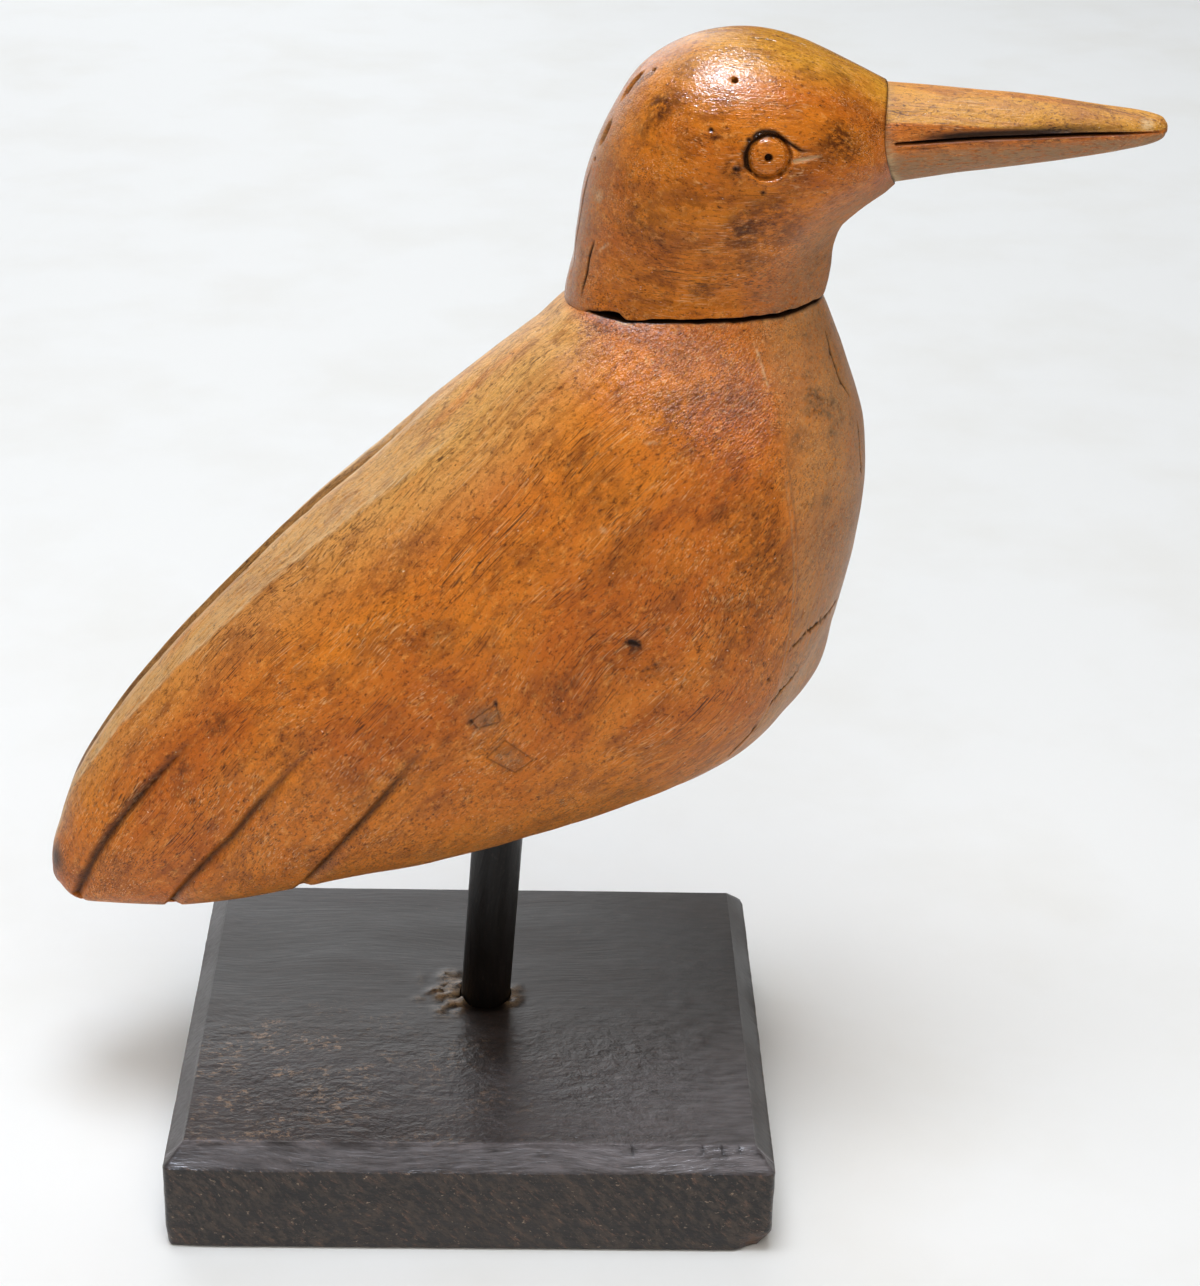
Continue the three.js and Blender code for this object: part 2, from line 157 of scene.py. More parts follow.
@dataclass(frozen=True)
class Slices:
    """A carved form, given as slices from its back line to its belly line.

    Attributes:
        rows: For each slice: back x, back z, belly x, belly z, half width, place of the widest
            point between back and belly, roundness above it, roundness below it.
        middle_y: The middle plane of the form.
    """

    rows: tuple[Row, ...]
    middle_y: float = 5.0

    @property
    def last(self) -> int:
        """Number of the last slice."""
        return len(self.rows) - 1

    def point(self, s: Array, a: Array, dip: Array = 0.0, dip_half: Array = 1.0, swell: Array = 0.0) -> Array:
        """Finds surface points.

        Args:
            s: Places along the slices.
            a: Angles round the slice, 0 on the back, pi on the belly, positive on the near side.
            dip: Depth of a groove along the back.
            dip_half: Half the width of that groove.
            swell: How far the surface stands out from its plain slice.

        Returns:
            The points, in millimetres, on one more axis.
        """
        s, a = np.broadcast_arrays(np.asarray(s, dtype=float), np.asarray(a, dtype=float))
        columns = np.moveaxis(along_rows(self.rows, s), -1, 0)
        back_x, back_z, belly_x, belly_z, half_width, widest, above, below = columns
        cos = np.cos(a)
        sin = np.sin(a)
        power = np.where(cos >= 0, above, below)
        reach = (np.abs(cos) ** power + np.abs(sin) ** power) ** (-1.0 / power)
        height = np.hypot(belly_x - back_x, belly_z - back_z)
        along = -cos * reach
        radius = np.hypot(half_width * sin * reach, height * widest * along)
        grown = 1.0 + swell / radius
        side = half_width * sin * reach * grown
        part = along * grown
        down = np.where(part < 0, widest * (1 + part), widest + (1 - widest) * part)
        shape = np.clip(1.0 - np.abs(side) / dip_half, 0.0, 1.0)
        down = down + np.where(cos > 0, dip / height * shape, 0.0)
        x = back_x + (belly_x - back_x) * down
        z = back_z + (belly_z - back_z) * down
        return np.stack([x, self.middle_y - side, z], axis=-1)

    def find(self, x: float, z: float) -> Row:
        """Finds where the near side lies at one place seen from the side.

        Args:
            x: The place's x.
            z: The place's z.

        Returns:
            Its place along the slices and its angle round the slice.
        """
        s, a = self.last / 2, math.pi / 2
        reach_s, reach_a = self.last / 2, 1.2
        for _ in range(14):
            many_s, many_a = np.meshgrid(
                np.clip(s + np.linspace(-reach_s, reach_s, 13), 0, self.last),
                a + np.linspace(-reach_a, reach_a, 13),
            )
            points = self.point(many_s, many_a)
            best = np.argmin(np.hypot(points[..., 0] - x, points[..., 2] - z))
            s, a = many_s.flat[best], many_a.flat[best]
            reach_s, reach_a = reach_s / 2, reach_a / 2
        return float(s), float(a)


# Marks in a surface


class Mark:
    """Something cut, worn or dented into a surface."""

    def distance(self, points: Array) -> Array:
        """Distance of each point from the mark, in millimetres."""
        raise NotImplementedError

    def offset(self, points: Array, normals: Array) -> Array:
        """How far each point moves outwards, in millimetres."""
        raise NotImplementedError

    def dirt_and_shade(self, points: Array) -> Array:
        """How much the mark darkens each point, from 0 to 1: old grime in most marks, painted shade in the eyelid line
        and the mouth slit.
        """
        raise NotImplementedError

    @property
    def line(self) -> Array:
        """Points that the mark runs through."""
        raise NotImplementedError

    @property
    def spread(self) -> float:
        """Distance from the mark within which the mesh has to be fine."""
        raise NotImplementedError

    @property
    def fineness(self) -> float:
        """Greatest length of the mesh's edges near the mark."""
        raise NotImplementedError

    def near(self, points: Array) -> Array:
        """Finds the numbers of the points in a box round the mark."""
        margin = 1.8 * self.spread
        low = self.line.min(axis=0) - margin
        high = self.line.max(axis=0) + margin
        return np.flatnonzero(((points > low) & (points < high)).all(axis=1))


@dataclass(frozen=True)
class Cut(Mark):
    """A knife or gouge cut, or a crack, along a line of points.

    Attributes:
        path: The line, in millimetres, one point per row.
        depth: Greatest depth.
        half_width: Half the greatest width.
        starts: Share of the length over which the cut gets deep at its start.
        ends: Share of the length over which it runs out at its end.
        lean: From -1 to 1: how much wider one wall is than the other.
        darkening: How dark it makes its bottom: grime in most cuts, painted shade in the eyelid line and the mouth
            slit.
        raised: Height of the rims beside it.
        darkening_width: Half the width of the darkening, as a share of the cut's half width.
    """

    path: Array
    depth: float
    half_width: float
    starts: float = 0.3
    ends: float = 0.001
    lean: float = 0.0
    darkening: float = 1.0
    raised: float = 0.0
    darkening_width: float = 0.8

    def measure(self, points: Array) -> tuple[Array, Array, Array]:
        """Measures points against the line.

        Args:
            points: The points.

        Returns:
            Their distances, their shares of the line's length, and the vectors from the line.
        """
        steps = np.linalg.norm(np.diff(self.path, axis=0), axis=1)
        passed = np.concatenate([[0.0], np.cumsum(steps)])
        best = np.full(len(points), np.inf)
        share = np.zeros(len(points))
        away = np.zeros((len(points), 3))
        for start, end, length, before in zip(self.path, self.path[1:], steps, passed):
            ahead = end - start
            t = np.clip((points - start) @ ahead / length**2, 0.0, 1.0)
            gap = points - (start + t[:, None] * ahead)
            distance = np.linalg.norm(gap, axis=1)
            closer = distance < best
            best[closer] = distance[closer]
            share[closer] = (before + t[closer] * length) / passed[-1]
            away[closer] = gap[closer]
        return best, share, away

    def strength(self, share: Array) -> Array:
        """How much of the full cut there is along its length."""
        opening = smooth_step(-0.4 * self.starts, self.starts, share)
        return opening * smooth_step(1.0 + 0.4 * self.ends, 1.0 - self.ends, share)

    def distance(self, points: Array) -> Array:
        """Distance of each point from the line."""
        return self.measure(points)[0]

    def offset(self, points: Array, normals: Array) -> Array:
        """Moves points inwards by the V of the cut, and its rims a little outwards."""
        distance, share, away = self.measure(points)
        strength = self.strength(share)
        ahead = self.path[-1] - self.path[0]
        side = np.sign(np.einsum("ij,ij->i", np.cross(normals, ahead), away))
        half = self.half_width * (0.35 + 0.65 * strength) * (1.0 + self.lean * side)
        vee = np.clip(1.0 - distance / half, 0.0, 1.0)
        rim = np.exp(-(((distance - 1.3 * half) / (0.5 * half)) ** 2))
        return strength * (self.raised * rim - self.depth * vee)

    def dirt_and_shade(self, points: Array) -> Array:
        """The darkening lies along the bottom of the cut and thins out beside it."""
        distance, share, _ = self.measure(points)
        return self.darkening * self.strength(share) * np.exp(-((distance / (self.darkening_width * self.half_width)) ** 2))

    @property
    def line(self) -> Array:
        """The cut's own line."""
        return self.path

    @property
    def spread(self) -> float:
        """The cut with both its rims."""
        return 1.7 * self.half_width * (1.0 + abs(self.lean))

    @property
    def fineness(self) -> float:
        """A third of the half width."""
        return max(0.12, 0.36 * self.half_width)


@dataclass(frozen=True)
class Dent(Mark):
    """A dent, pit or hole round one point.

    Attributes:
        middle: The point, in millimetres.
        radius: Its radius.
        depth: Its depth.
        darkening: Amount of grime in it.
        steep: 1 for a hollow; a large number for a hole with upright walls.
    """

    middle: Array
    radius: float
    depth: float
    darkening: float = 1.0
    steep: float = 1.0

    def distance(self, points: Array) -> Array:
        """Distance of each point from the middle."""
        return np.linalg.norm(points - self.middle, axis=1)

    def offset(self, points: Array, normals: Array) -> Array:
        """Moves points inwards."""
        bowl = np.clip(1.0 - (self.distance(points) / self.radius) ** 2, 0.0, 1.0)
        return -self.depth * np.clip(bowl**1.5 * self.steep, 0.0, 1.0)

    def dirt_and_shade(self, points: Array) -> Array:
        """Dirt lies all over the dent."""
        return self.darkening * np.exp(-((self.distance(points) / self.radius) ** 2))

    @property
    def line(self) -> Array:
        """The middle alone."""
        return self.middle[None, :]

    @property
    def spread(self) -> float:
        """The dent with its rim."""
        return 1.4 * self.radius

    @property
    def fineness(self) -> float:
        """A third of the radius."""
        return max(0.12, 0.33 * self.radius)


@dataclass(frozen=True)
class CarvedEye(Mark):
    """A ring cut round a low domed disc, with a pupil hole.

    Attributes:
        middle: Its middle on the surface, in millimetres.
        ring_radius: Radius of the ring's bottom line.
        ring_half: Half the ring's width.
        ring_depth: Depth of the ring.
        dome: Height of the disc's middle above its rim.
        pupil_radius: Radius of the pupil hole.
        pupil_depth: Depth of the pupil hole.
    """

    middle: Array
    ring_radius: float = 3.8
    ring_half: float = 0.72
    ring_depth: float = 0.95
    dome: float = 0.55
    pupil_radius: float = 0.62
    pupil_depth: float = 1.3

    def distance(self, points: Array) -> Array:
        """Distance of each point from the middle."""
        return np.linalg.norm(points - self.middle, axis=1)

    def offset(self, points: Array, normals: Array) -> Array:
        """Cuts the ring and the pupil and rounds the disc."""
        distance = self.distance(points) + 0.1 * lattice_noise(points, 2.2, 41)
        outwards = distance - self.ring_radius
        half = np.where(outwards > 0, 0.6 * self.ring_half, 1.3 * self.ring_half)
        ring = np.clip(1.0 - np.abs(outwards) / half, 0.0, 1.0)
        inside = np.clip(distance / (self.ring_radius - 0.5), 0.0, 1.0)
        disc = self.dome * (1.0 - inside**3) - 0.3 * smooth_step(self.ring_radius + 0.2, 3.0, distance)
        pupil = smooth_step(self.pupil_radius * 1.25, self.pupil_radius * 0.6, distance)
        lip = 0.16 * np.exp(-(((outwards - 0.75) / 0.35) ** 2))
        return disc + lip - self.ring_depth * ring - self.pupil_depth * pupil

    def dirt_and_shade(self, points: Array) -> Array:
        """Dirt fills the pupil and lies in the ring, most of it above and towards the nape."""
        distance = self.distance(points)
        gritty = 0.55 + 0.45 * lattice_noise(points, 0.9, 42)
        upwards = points[:, 2] - self.middle[2]
        forwards = points[:, 0] - self.middle[0]
        thick = smooth_step(0.2, 3.2, 0.8 * upwards - forwards)
        ring = np.exp(-(((distance - self.ring_radius - 0.05) / 0.3) ** 2))
        smear = 1.3 * gritty * np.exp(-(((distance - self.ring_radius - 0.15) / 0.85) ** 2))
        pupil = smooth_step(self.pupil_radius * 1.5, self.pupil_radius * 0.7, distance)
        return np.clip(ring * np.clip(gritty + thick, 0.35, 1.0) + smear * thick + pupil, 0.0, 1.0)

    @property
    def line(self) -> Array:
        """The middle alone."""
        return self.middle[None, :]

    @property
    def spread(self) -> float:
        """The ring with its outer rim."""
        return self.ring_radius + 1.4

    @property
    def fineness(self) -> float:
        """Fine enough for the ring's walls."""
        return 0.17


# Meshes


@dataclass
class Skin:
    """A closed surface through rings of points, kept with its places along and around the form.

    Attributes:
        name: Name of the piece.
        rings: Points in millimetres, by ring and by place in the ring.
        along: Place along the form, by ring.
        around: Angle from the back line, 0 to pi, by ring and place in the ring.
    """

    name: str
    rings: Array
    along: Array
    around: Array

    def mesh(self) -> bpy.types.Mesh:
        """Makes the mesh, in metres, with flat fans over both ends.

        Returns:
            A mesh with the values "along" and "around" on its points.
        """
        count = self.rings.shape[1]
        points = self.rings.reshape(-1, 3)
        rows = np.arange(len(self.rings) - 1)[:, None] * count
        here = np.arange(count)[None, :]
        ahead = (here + 1) % count
        quads = np.stack([rows + here, rows + ahead, rows + count + ahead, rows + count + here], axis=-1)
        faces = quads.reshape(-1, 4).tolist()
        last = (len(self.rings) - 1) * count
        middles = np.stack([self.rings[0].mean(axis=0), self.rings[-1].mean(axis=0)])
        for middle, start, flip in ((len(points), 0, True), (len(points) + 1, last, False)):
            for k in range(count):
                pair = [start + k, start + (k + 1) % count]
                faces.append([middle, *(reversed(pair) if flip else pair)])
        mesh = bpy.data.meshes.new(self.name)
        mesh.from_pydata((np.vstack([points, middles]) * MM).tolist(), [], faces)
        along = np.repeat(self.along, count)
        set_values(mesh, "along", np.concatenate([along, [self.along[0], self.along[-1]]]))
        set_values(mesh, "around", np.concatenate([self.around.ravel(), [0.0, 0.0]]))
        turn_outwards(mesh)
        return mesh


def set_values(mesh: bpy.types.Mesh, name: str, values: Array) -> None:
    """Keeps one number per point on a mesh under a name."""
    layer = mesh.attributes.get(name) or mesh.attributes.new(name, "FLOAT", "POINT")
    layer.data.foreach_set("value", np.asarray(values, dtype=np.float32))


def get_values(mesh: bpy.types.Mesh, name: str) -> Array:
    """Reads one number per point from a mesh."""
    values = np.zeros(len(mesh.vertices), dtype=np.float32)
    mesh.attributes[name].data.foreach_get("value", values)
    return values.astype(float)


def points_of(mesh: bpy.types.Mesh) -> Array:
    """Reads a mesh's points, in millimetres."""
    values = np.zeros(len(mesh.vertices) * 3, dtype=np.float32)
    mesh.vertices.foreach_get("co", values)
    return values.reshape(-1, 3).astype(float) / MM


def normals_of(mesh: bpy.types.Mesh) -> Array:
    """Reads a mesh's outward directions, one per point."""
    values = np.zeros(len(mesh.vertices) * 3, dtype=np.float32)
    mesh.vertex_normals.foreach_get("vector", values)
    return values.reshape(-1, 3).astype(float)


def move_points(mesh: bpy.types.Mesh, points: Array) -> None:
    """Puts a mesh's points at new places, given in millimetres."""
    mesh.vertices.foreach_set("co", (points * MM).astype(np.float32).ravel())
    mesh.update()


def turn_outwards(mesh: bpy.types.Mesh) -> None:
    """Turns every face of a closed mesh outwards."""
    work = bmesh.new()
    work.from_mesh(mesh)
    bmesh.ops.recalc_face_normals(work, faces=work.faces)
    work.to_mesh(mesh)
    work.free()


def refine(mesh: bpy.types.Mesh, marks: Sequence[Mark], rounds: int = 3) -> None:
    """Halves the mesh's edges wherever a mark needs them shorter.

    Args:
        mesh: The mesh.
        marks: The marks.
        rounds: How often an edge can be halved.
    """
    for _ in range(rounds):
        pairs = np.zeros(len(mesh.edges) * 2, dtype=np.int32)
        mesh.edges.foreach_get("vertices", pairs)
        points = points_of(mesh)
        start, end = points[pairs[::2]], points[pairs[1::2]]
        middles = (start + end) / 2
        lengths = np.linalg.norm(end - start, axis=1)
        wanted = np.zeros(len(middles), dtype=bool)
        for mark in marks:
            index = mark.near(middles)
            index = index[lengths[index] > 1.3 * mark.fineness]
            wanted[index] |= mark.distance(middles[index]) < mark.spread
        if not wanted.any():
            return
        work = bmesh.new()
        work.from_mesh(mesh)
        work.edges.ensure_lookup_table()
        edges = [work.edges[index] for index in np.flatnonzero(wanted)]
        bmesh.ops.subdivide_edges(work, edges=edges, cuts=1, use_grid_fill=True)
        work.to_mesh(mesh)
        work.free()


def bore_hole(mesh: bpy.types.Mesh, foot: Vector, axis: Vector, radius: float, depth: float, facing: float) -> None:
    """Bores a round socket into a closed mesh.

    Args:
        mesh: The mesh.
        foot: A point on the socket's middle line, in millimetres.
        axis: Direction of that line, upwards.
        radius: Radius of the socket.
        depth: How far it goes in from the surface.
        facing: 1 if the socket opens upwards, -1 if it opens downwards.
    """
    work = bmesh.new()
    work.from_mesh(mesh)
    foot = foot * MM
    radius *= MM

    def from_line(place: Vector) -> Vector:
        """Vector from the middle line to a place, square to the line."""
        gap = place - foot
        return gap - axis * gap.dot(axis)

    inside = [
        face for face in work.faces
        if face.normal.dot(axis) * facing > 0.2 and from_line(face.calc_center_median()).length < radius
    ]
    bmesh.ops.delete(work, geom=inside, context="FACES")
    rim = [edge for edge in work.edges if edge.is_boundary]
    for vertex in {vertex for edge in rim for vertex in edge.verts}:
        gap = from_line(vertex.co)
        vertex.co += gap.normalized() * radius - gap
    wall = bmesh.ops.extrude_edge_only(work, edges=rim)["geom"]
    inner = [item for item in wall if isinstance(item, bmesh.types.BMVert)]
    for vertex in inner:
        vertex.co -= axis * (facing * depth * MM)
    floor = [item for item in wall if isinstance(item, bmesh.types.BMEdge) and item.is_boundary]
    bmesh.ops.contextual_create(work, geom=floor)
    bmesh.ops.recalc_face_normals(work, faces=work.faces)
    work.to_mesh(mesh)
    work.free()


def carve(mesh: bpy.types.Mesh, marks: Iterable[Mark], extra: Array) -> None:
    """Moves a mesh's points by its marks.

    Args:
        mesh: The mesh, in its plain form.
        marks: The marks.
        extra: A further move for every point, in millimetres.
    """
    points = points_of(mesh)
    normals = normals_of(mesh)
    total = np.zeros(len(points))
    for mark in marks:
        index = mark.near(points)
        total[index] += mark.offset(points[index], normals[index])
    move_points(mesh, points + normals * total[:, None] + extra)


def dirt_and_shade_of(points: Array, marks: Iterable[Mark]) -> Array:
    """How much the marks darken each point, from 0 to 1: grime, with painted shade in a few cuts; one value per point.
    """
    clean = np.ones(len(points))
    for mark in marks:
        index = mark.near(points)
        clean[index] *= 1.0 - np.clip(mark.dirt_and_shade(points[index]), 0.0, 1.0)
    return 1.0 - clean


def spots(points: Array, middles: Iterable[Row], seed: int) -> Array:
    """Soft irregular spots.

    Args:
        points: Places, in millimetres.
        middles: For each spot: x, y, z of its middle, radius and strength.
        seed: Picks the spots' outlines.

    Returns:
        The strongest spot's value at each place, from 0 to 1.
    """
    waver = 1.0 + 0.55 * layered_noise(points, 4.0, seed)
    total = np.zeros(len(points))
    for x, y, z, radius, strength in middles:
        distance = np.linalg.norm(points - (x, y, z), axis=1) * waver
        total = np.maximum(total, strength * smooth_step(1.3 * radius, 0.3 * radius, distance))
    return total


def make_piece(
    mesh: bpy.types.Mesh, node: str, material: bpy.types.Material, crease: float = 55.0
) -> bpy.types.Object:
    """Puts a finished mesh in its solid's place.

    Args:
        mesh: The mesh.
        node: The solid that it stands for.
        material: Its finish.
        crease: Angle between faces from which an edge is sharp, in degrees.

    Returns:
        The new piece.
    """
    piece = bpy.data.objects.new(mesh.name, mesh)
    bpy.context.scene.collection.objects.link(piece)
    mesh.materials.append(material)
    mesh.shade_smooth()
    mesh.set_sharp_from_angle(angle=math.radians(crease))
    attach(piece, BODY_NAME)
    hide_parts(node)
    return piece


# Finishes


def linear(colour: str) -> tuple[float, float, float, float]:
    """Turns an sRGB hex colour into linear red, green, blue and alpha.

    Args:
        colour: The colour, such as "#c08040".

    Returns:
        The linear values.
    """
    parts = (int(colour[k : k + 2], 16) / 255.0 for k in (1, 3, 5))
    red, green, blue = (p / 12.92 if p <= 0.04045 else ((p + 0.055) / 1.055) ** 2.4 for p in parts)
    return red, green, blue, 1.0


def add_node(
    tree: bpy.types.NodeTree, kind: str, inputs: dict[str | int, object], **settings: object
) -> bpy.types.Node:
    """Adds a node with its settings and links.

    Args:
        tree: The material's node tree.
        kind: The node's type name.
        inputs: For each live input's name or number: a value, a socket, or a node whose first
            live output is linked.
        **settings: The node's own settings.

    Returns:
        The node.
    """
    node = tree.nodes.new(kind)
    for name, value in settings.items():
        setattr(node, name, value)
    live = [socket for socket in node.inputs if socket.enabled]
    for key, value in inputs.items():
        target = live[key] if isinstance(key, int) else next(s for s in live if s.name == key)
        if isinstance(value, bpy.types.Node):
            value = next(socket for socket in value.outputs if socket.enabled)
        if isinstance(value, bpy.types.NodeSocket):
            tree.links.new(value, target)
        else:
            target.default_value = value
    return node


@dataclass(frozen=True)
class Pattern:
    """Uneven waves in the wood, with real sizes.

    Attributes:
        length: Length of the waves along the grain, in millimetres.
        width: Their width across it.
        detail: How many finer layers they have.
        rough: How strong the finer layers are.
        turn: Angle of the waves to the grain, in degrees.
    """

    length: float
    width: float
    detail: float = 2.0
    rough: float = 0.55
    turn: float = 0.0

    def add(self, tree: bpy.types.NodeTree, grain: bpy.types.Node) -> bpy.types.Node:
        """Adds the pattern to a material.

        Args:
            tree: The material's node tree.
            grain: Place on the object, in millimetres, with the grain along X.

        Returns:
            The node with values round 0.5.
        """
        sizes = (1 / self.length, 1 / self.width, 1 / self.width)
        if self.turn:
            inputs = {"Vector": grain, "Angle": math.radians(self.turn)}
            grain = add_node(tree, "ShaderNodeVectorRotate", inputs, rotation_type="Y_AXIS")
        place = add_node(tree, "ShaderNodeVectorMath", {0: grain, 1: sizes}, operation="MULTIPLY")
        inputs = {"Vector": place, "Scale": 1.0, "Detail": self.detail, "Roughness": self.rough}
        return add_node(tree, "ShaderNodeTexNoise", inputs)


@dataclass(frozen=True)
class Layer:
    """One colour over those below it.

    Attributes:
        colour: The colour.
        share: Greatest share of the colour.
        pattern: Pattern that it follows.
        low: The pattern's value without any of the colour.
        high: The pattern's value with all of it; it may be less than low.
        within: Patches outside which the colour doesn't show.
        where: Name of the value on the mesh that limits it.
        where_low: That value without any of the colour.
        where_high: That value with all of it.
    """

    colour: str
    share: float = 1.0
    pattern: Pattern | None = None
    low: float = 0.4
    high: float = 0.6
    within: Pattern | None = None
    where: str = ""
    where_low: float = 0.0
    where_high: float = 1.0


@dataclass(frozen=True)
class Relief:
    """Unevenness that is finer than the mesh.

    Attributes:
        pattern: Its pattern.
        depth: Its depth, in millimetres.
        where: Name of the value on the mesh that limits it.
    """

    pattern: Pattern
    depth: float
    where: str = ""


@dataclass(frozen=True)
class Wood:
    """A piece of wood with a worked and treated surface.

    Attributes:
        name: The material's name.
        grain: Angle of the grain above the floor, in degrees, seen from the side.
        ground: Its lowest colour.
        layers: The colours over it.
        reliefs: Its fine unevenness.
        roughness: Its roughness.
        uneven: How much the roughness changes with the first layer's pattern.
        specular: Strength of the bare wood's reflection; open pores keep it below 0.5.
        dulling: How much rougher it is where the mesh says that it is dull.
    """

    name: str
    grain: float
    ground: str
    layers: tuple[Layer, ...]
    reliefs: tuple[Relief, ...]
    roughness: float = 0.4
    uneven: float = 0.2
    specular: float = 0.5
    dulling: float = 0.3

    def grain_place(self, tree: bpy.types.NodeTree) -> bpy.types.Node:
        """Adds the place on the object, in millimetres, with a gently waving grain along X.

        Args:
            tree: The material's node tree.

        Returns:
            The node.
        """
        place = add_node(tree, "ShaderNodeTexCoord", {}).outputs["Object"]
        scaled = add_node(tree, "ShaderNodeVectorMath", {0: place, "Scale": 1 / MM}, operation="SCALE")
        inputs = {"Vector": scaled, "Angle": math.radians(self.grain)}
        turned = add_node(tree, "ShaderNodeVectorRotate", inputs, rotation_type="Y_AXIS")
        waves = add_node(tree, "ShaderNodeTexNoise", {"Vector": scaled, "Scale": 1 / 38.0, "Detail": 1.0})
        inputs = {0: waves.outputs["Color"], 1: (9.0,) * 3, 2: turned}
        return add_node(tree, "ShaderNodeVectorMath", inputs, operation="MULTIPLY_ADD")

    def add_layer(self, tree: bpy.types.NodeTree, grain: bpy.types.Node, layer: Layer, below: object) -> object:
        """Lays one colour over those below it.

        Args:
            tree: The material's node tree.
            grain: Place along the grain.
            layer: The layer.
            below: The colours below it.

        Returns:
            The node with the new colours.
        """
        share: object = layer.share
        for pattern, low, high in ((layer.pattern, layer.low, layer.high), (layer.within, 0.46, 0.6)):
            if pattern:
                inputs = {0: pattern.add(tree, grain), 1: low, 2: high, 3: 0.0, 4: share}
                share = add_node(tree, "ShaderNodeMapRange", inputs)
        if layer.where:
            value = add_node(tree, "ShaderNodeAttribute", {}, attribute_name=layer.where).outputs["Fac"]
            inputs = {0: value, 1: layer.where_low, 2: layer.where_high, 3: 0.0, 4: share}
            share = add_node(tree, "ShaderNodeMapRange", inputs)
        inputs = {0: share, 1: below, 2: linear(layer.colour)}
        return add_node(tree, "ShaderNodeMix", inputs, data_type="RGBA")

    def build(self) -> bpy.types.Material:
        """Builds the material.

        Returns:
            The material.
        """
        material = bpy.data.materials.new(self.name)
        material.use_nodes = True
        tree = material.node_tree
        tree.nodes.clear()
        grain = self.grain_place(tree)
        colour: object = linear(self.ground)
        for layer in self.layers:
            colour = self.add_layer(tree, grain, layer, colour)
        height: object = 0.0
        for relief in self.reliefs:
            depth: object = relief.depth
            if relief.where:
                value = add_node(tree, "ShaderNodeAttribute", {}, attribute_name=relief.where).outputs["Fac"]
                depth = add_node(tree, "ShaderNodeMath", {0: value, 1: depth}, operation="MULTIPLY")
            inputs = {0: relief.pattern.add(tree, grain), 1: depth, 2: height}
            height = add_node(tree, "ShaderNodeMath", inputs, operation="MULTIPLY_ADD")
        bumps = add_node(tree, "ShaderNodeBump", {"Height": height, "Distance": MM})
        patches = self.layers[0].pattern.add(tree, grain)
        inputs = {0: patches, 1: 0.3, 2: 0.7, 3: self.roughness - self.uneven / 2, 4: self.roughness + self.uneven / 2}
        polished = add_node(tree, "ShaderNodeMapRange", inputs)
        dull = add_node(tree, "ShaderNodeAttribute", {}, attribute_name="dull").outputs["Fac"]
        inputs = {0: dull, 1: self.dulling, 2: polished}
        roughness = add_node(tree, "ShaderNodeMath", inputs, operation="MULTIPLY_ADD")
        inputs = {
            "Base Color": colour, "Roughness": roughness, "Normal": bumps, "IOR": 1.5,
            "Specular IOR Level": self.specular,
        }
        surface = add_node(tree, "ShaderNodeBsdfPrincipled", inputs)
        add_node(tree, "ShaderNodeOutputMaterial", {"Surface": surface})
        return material


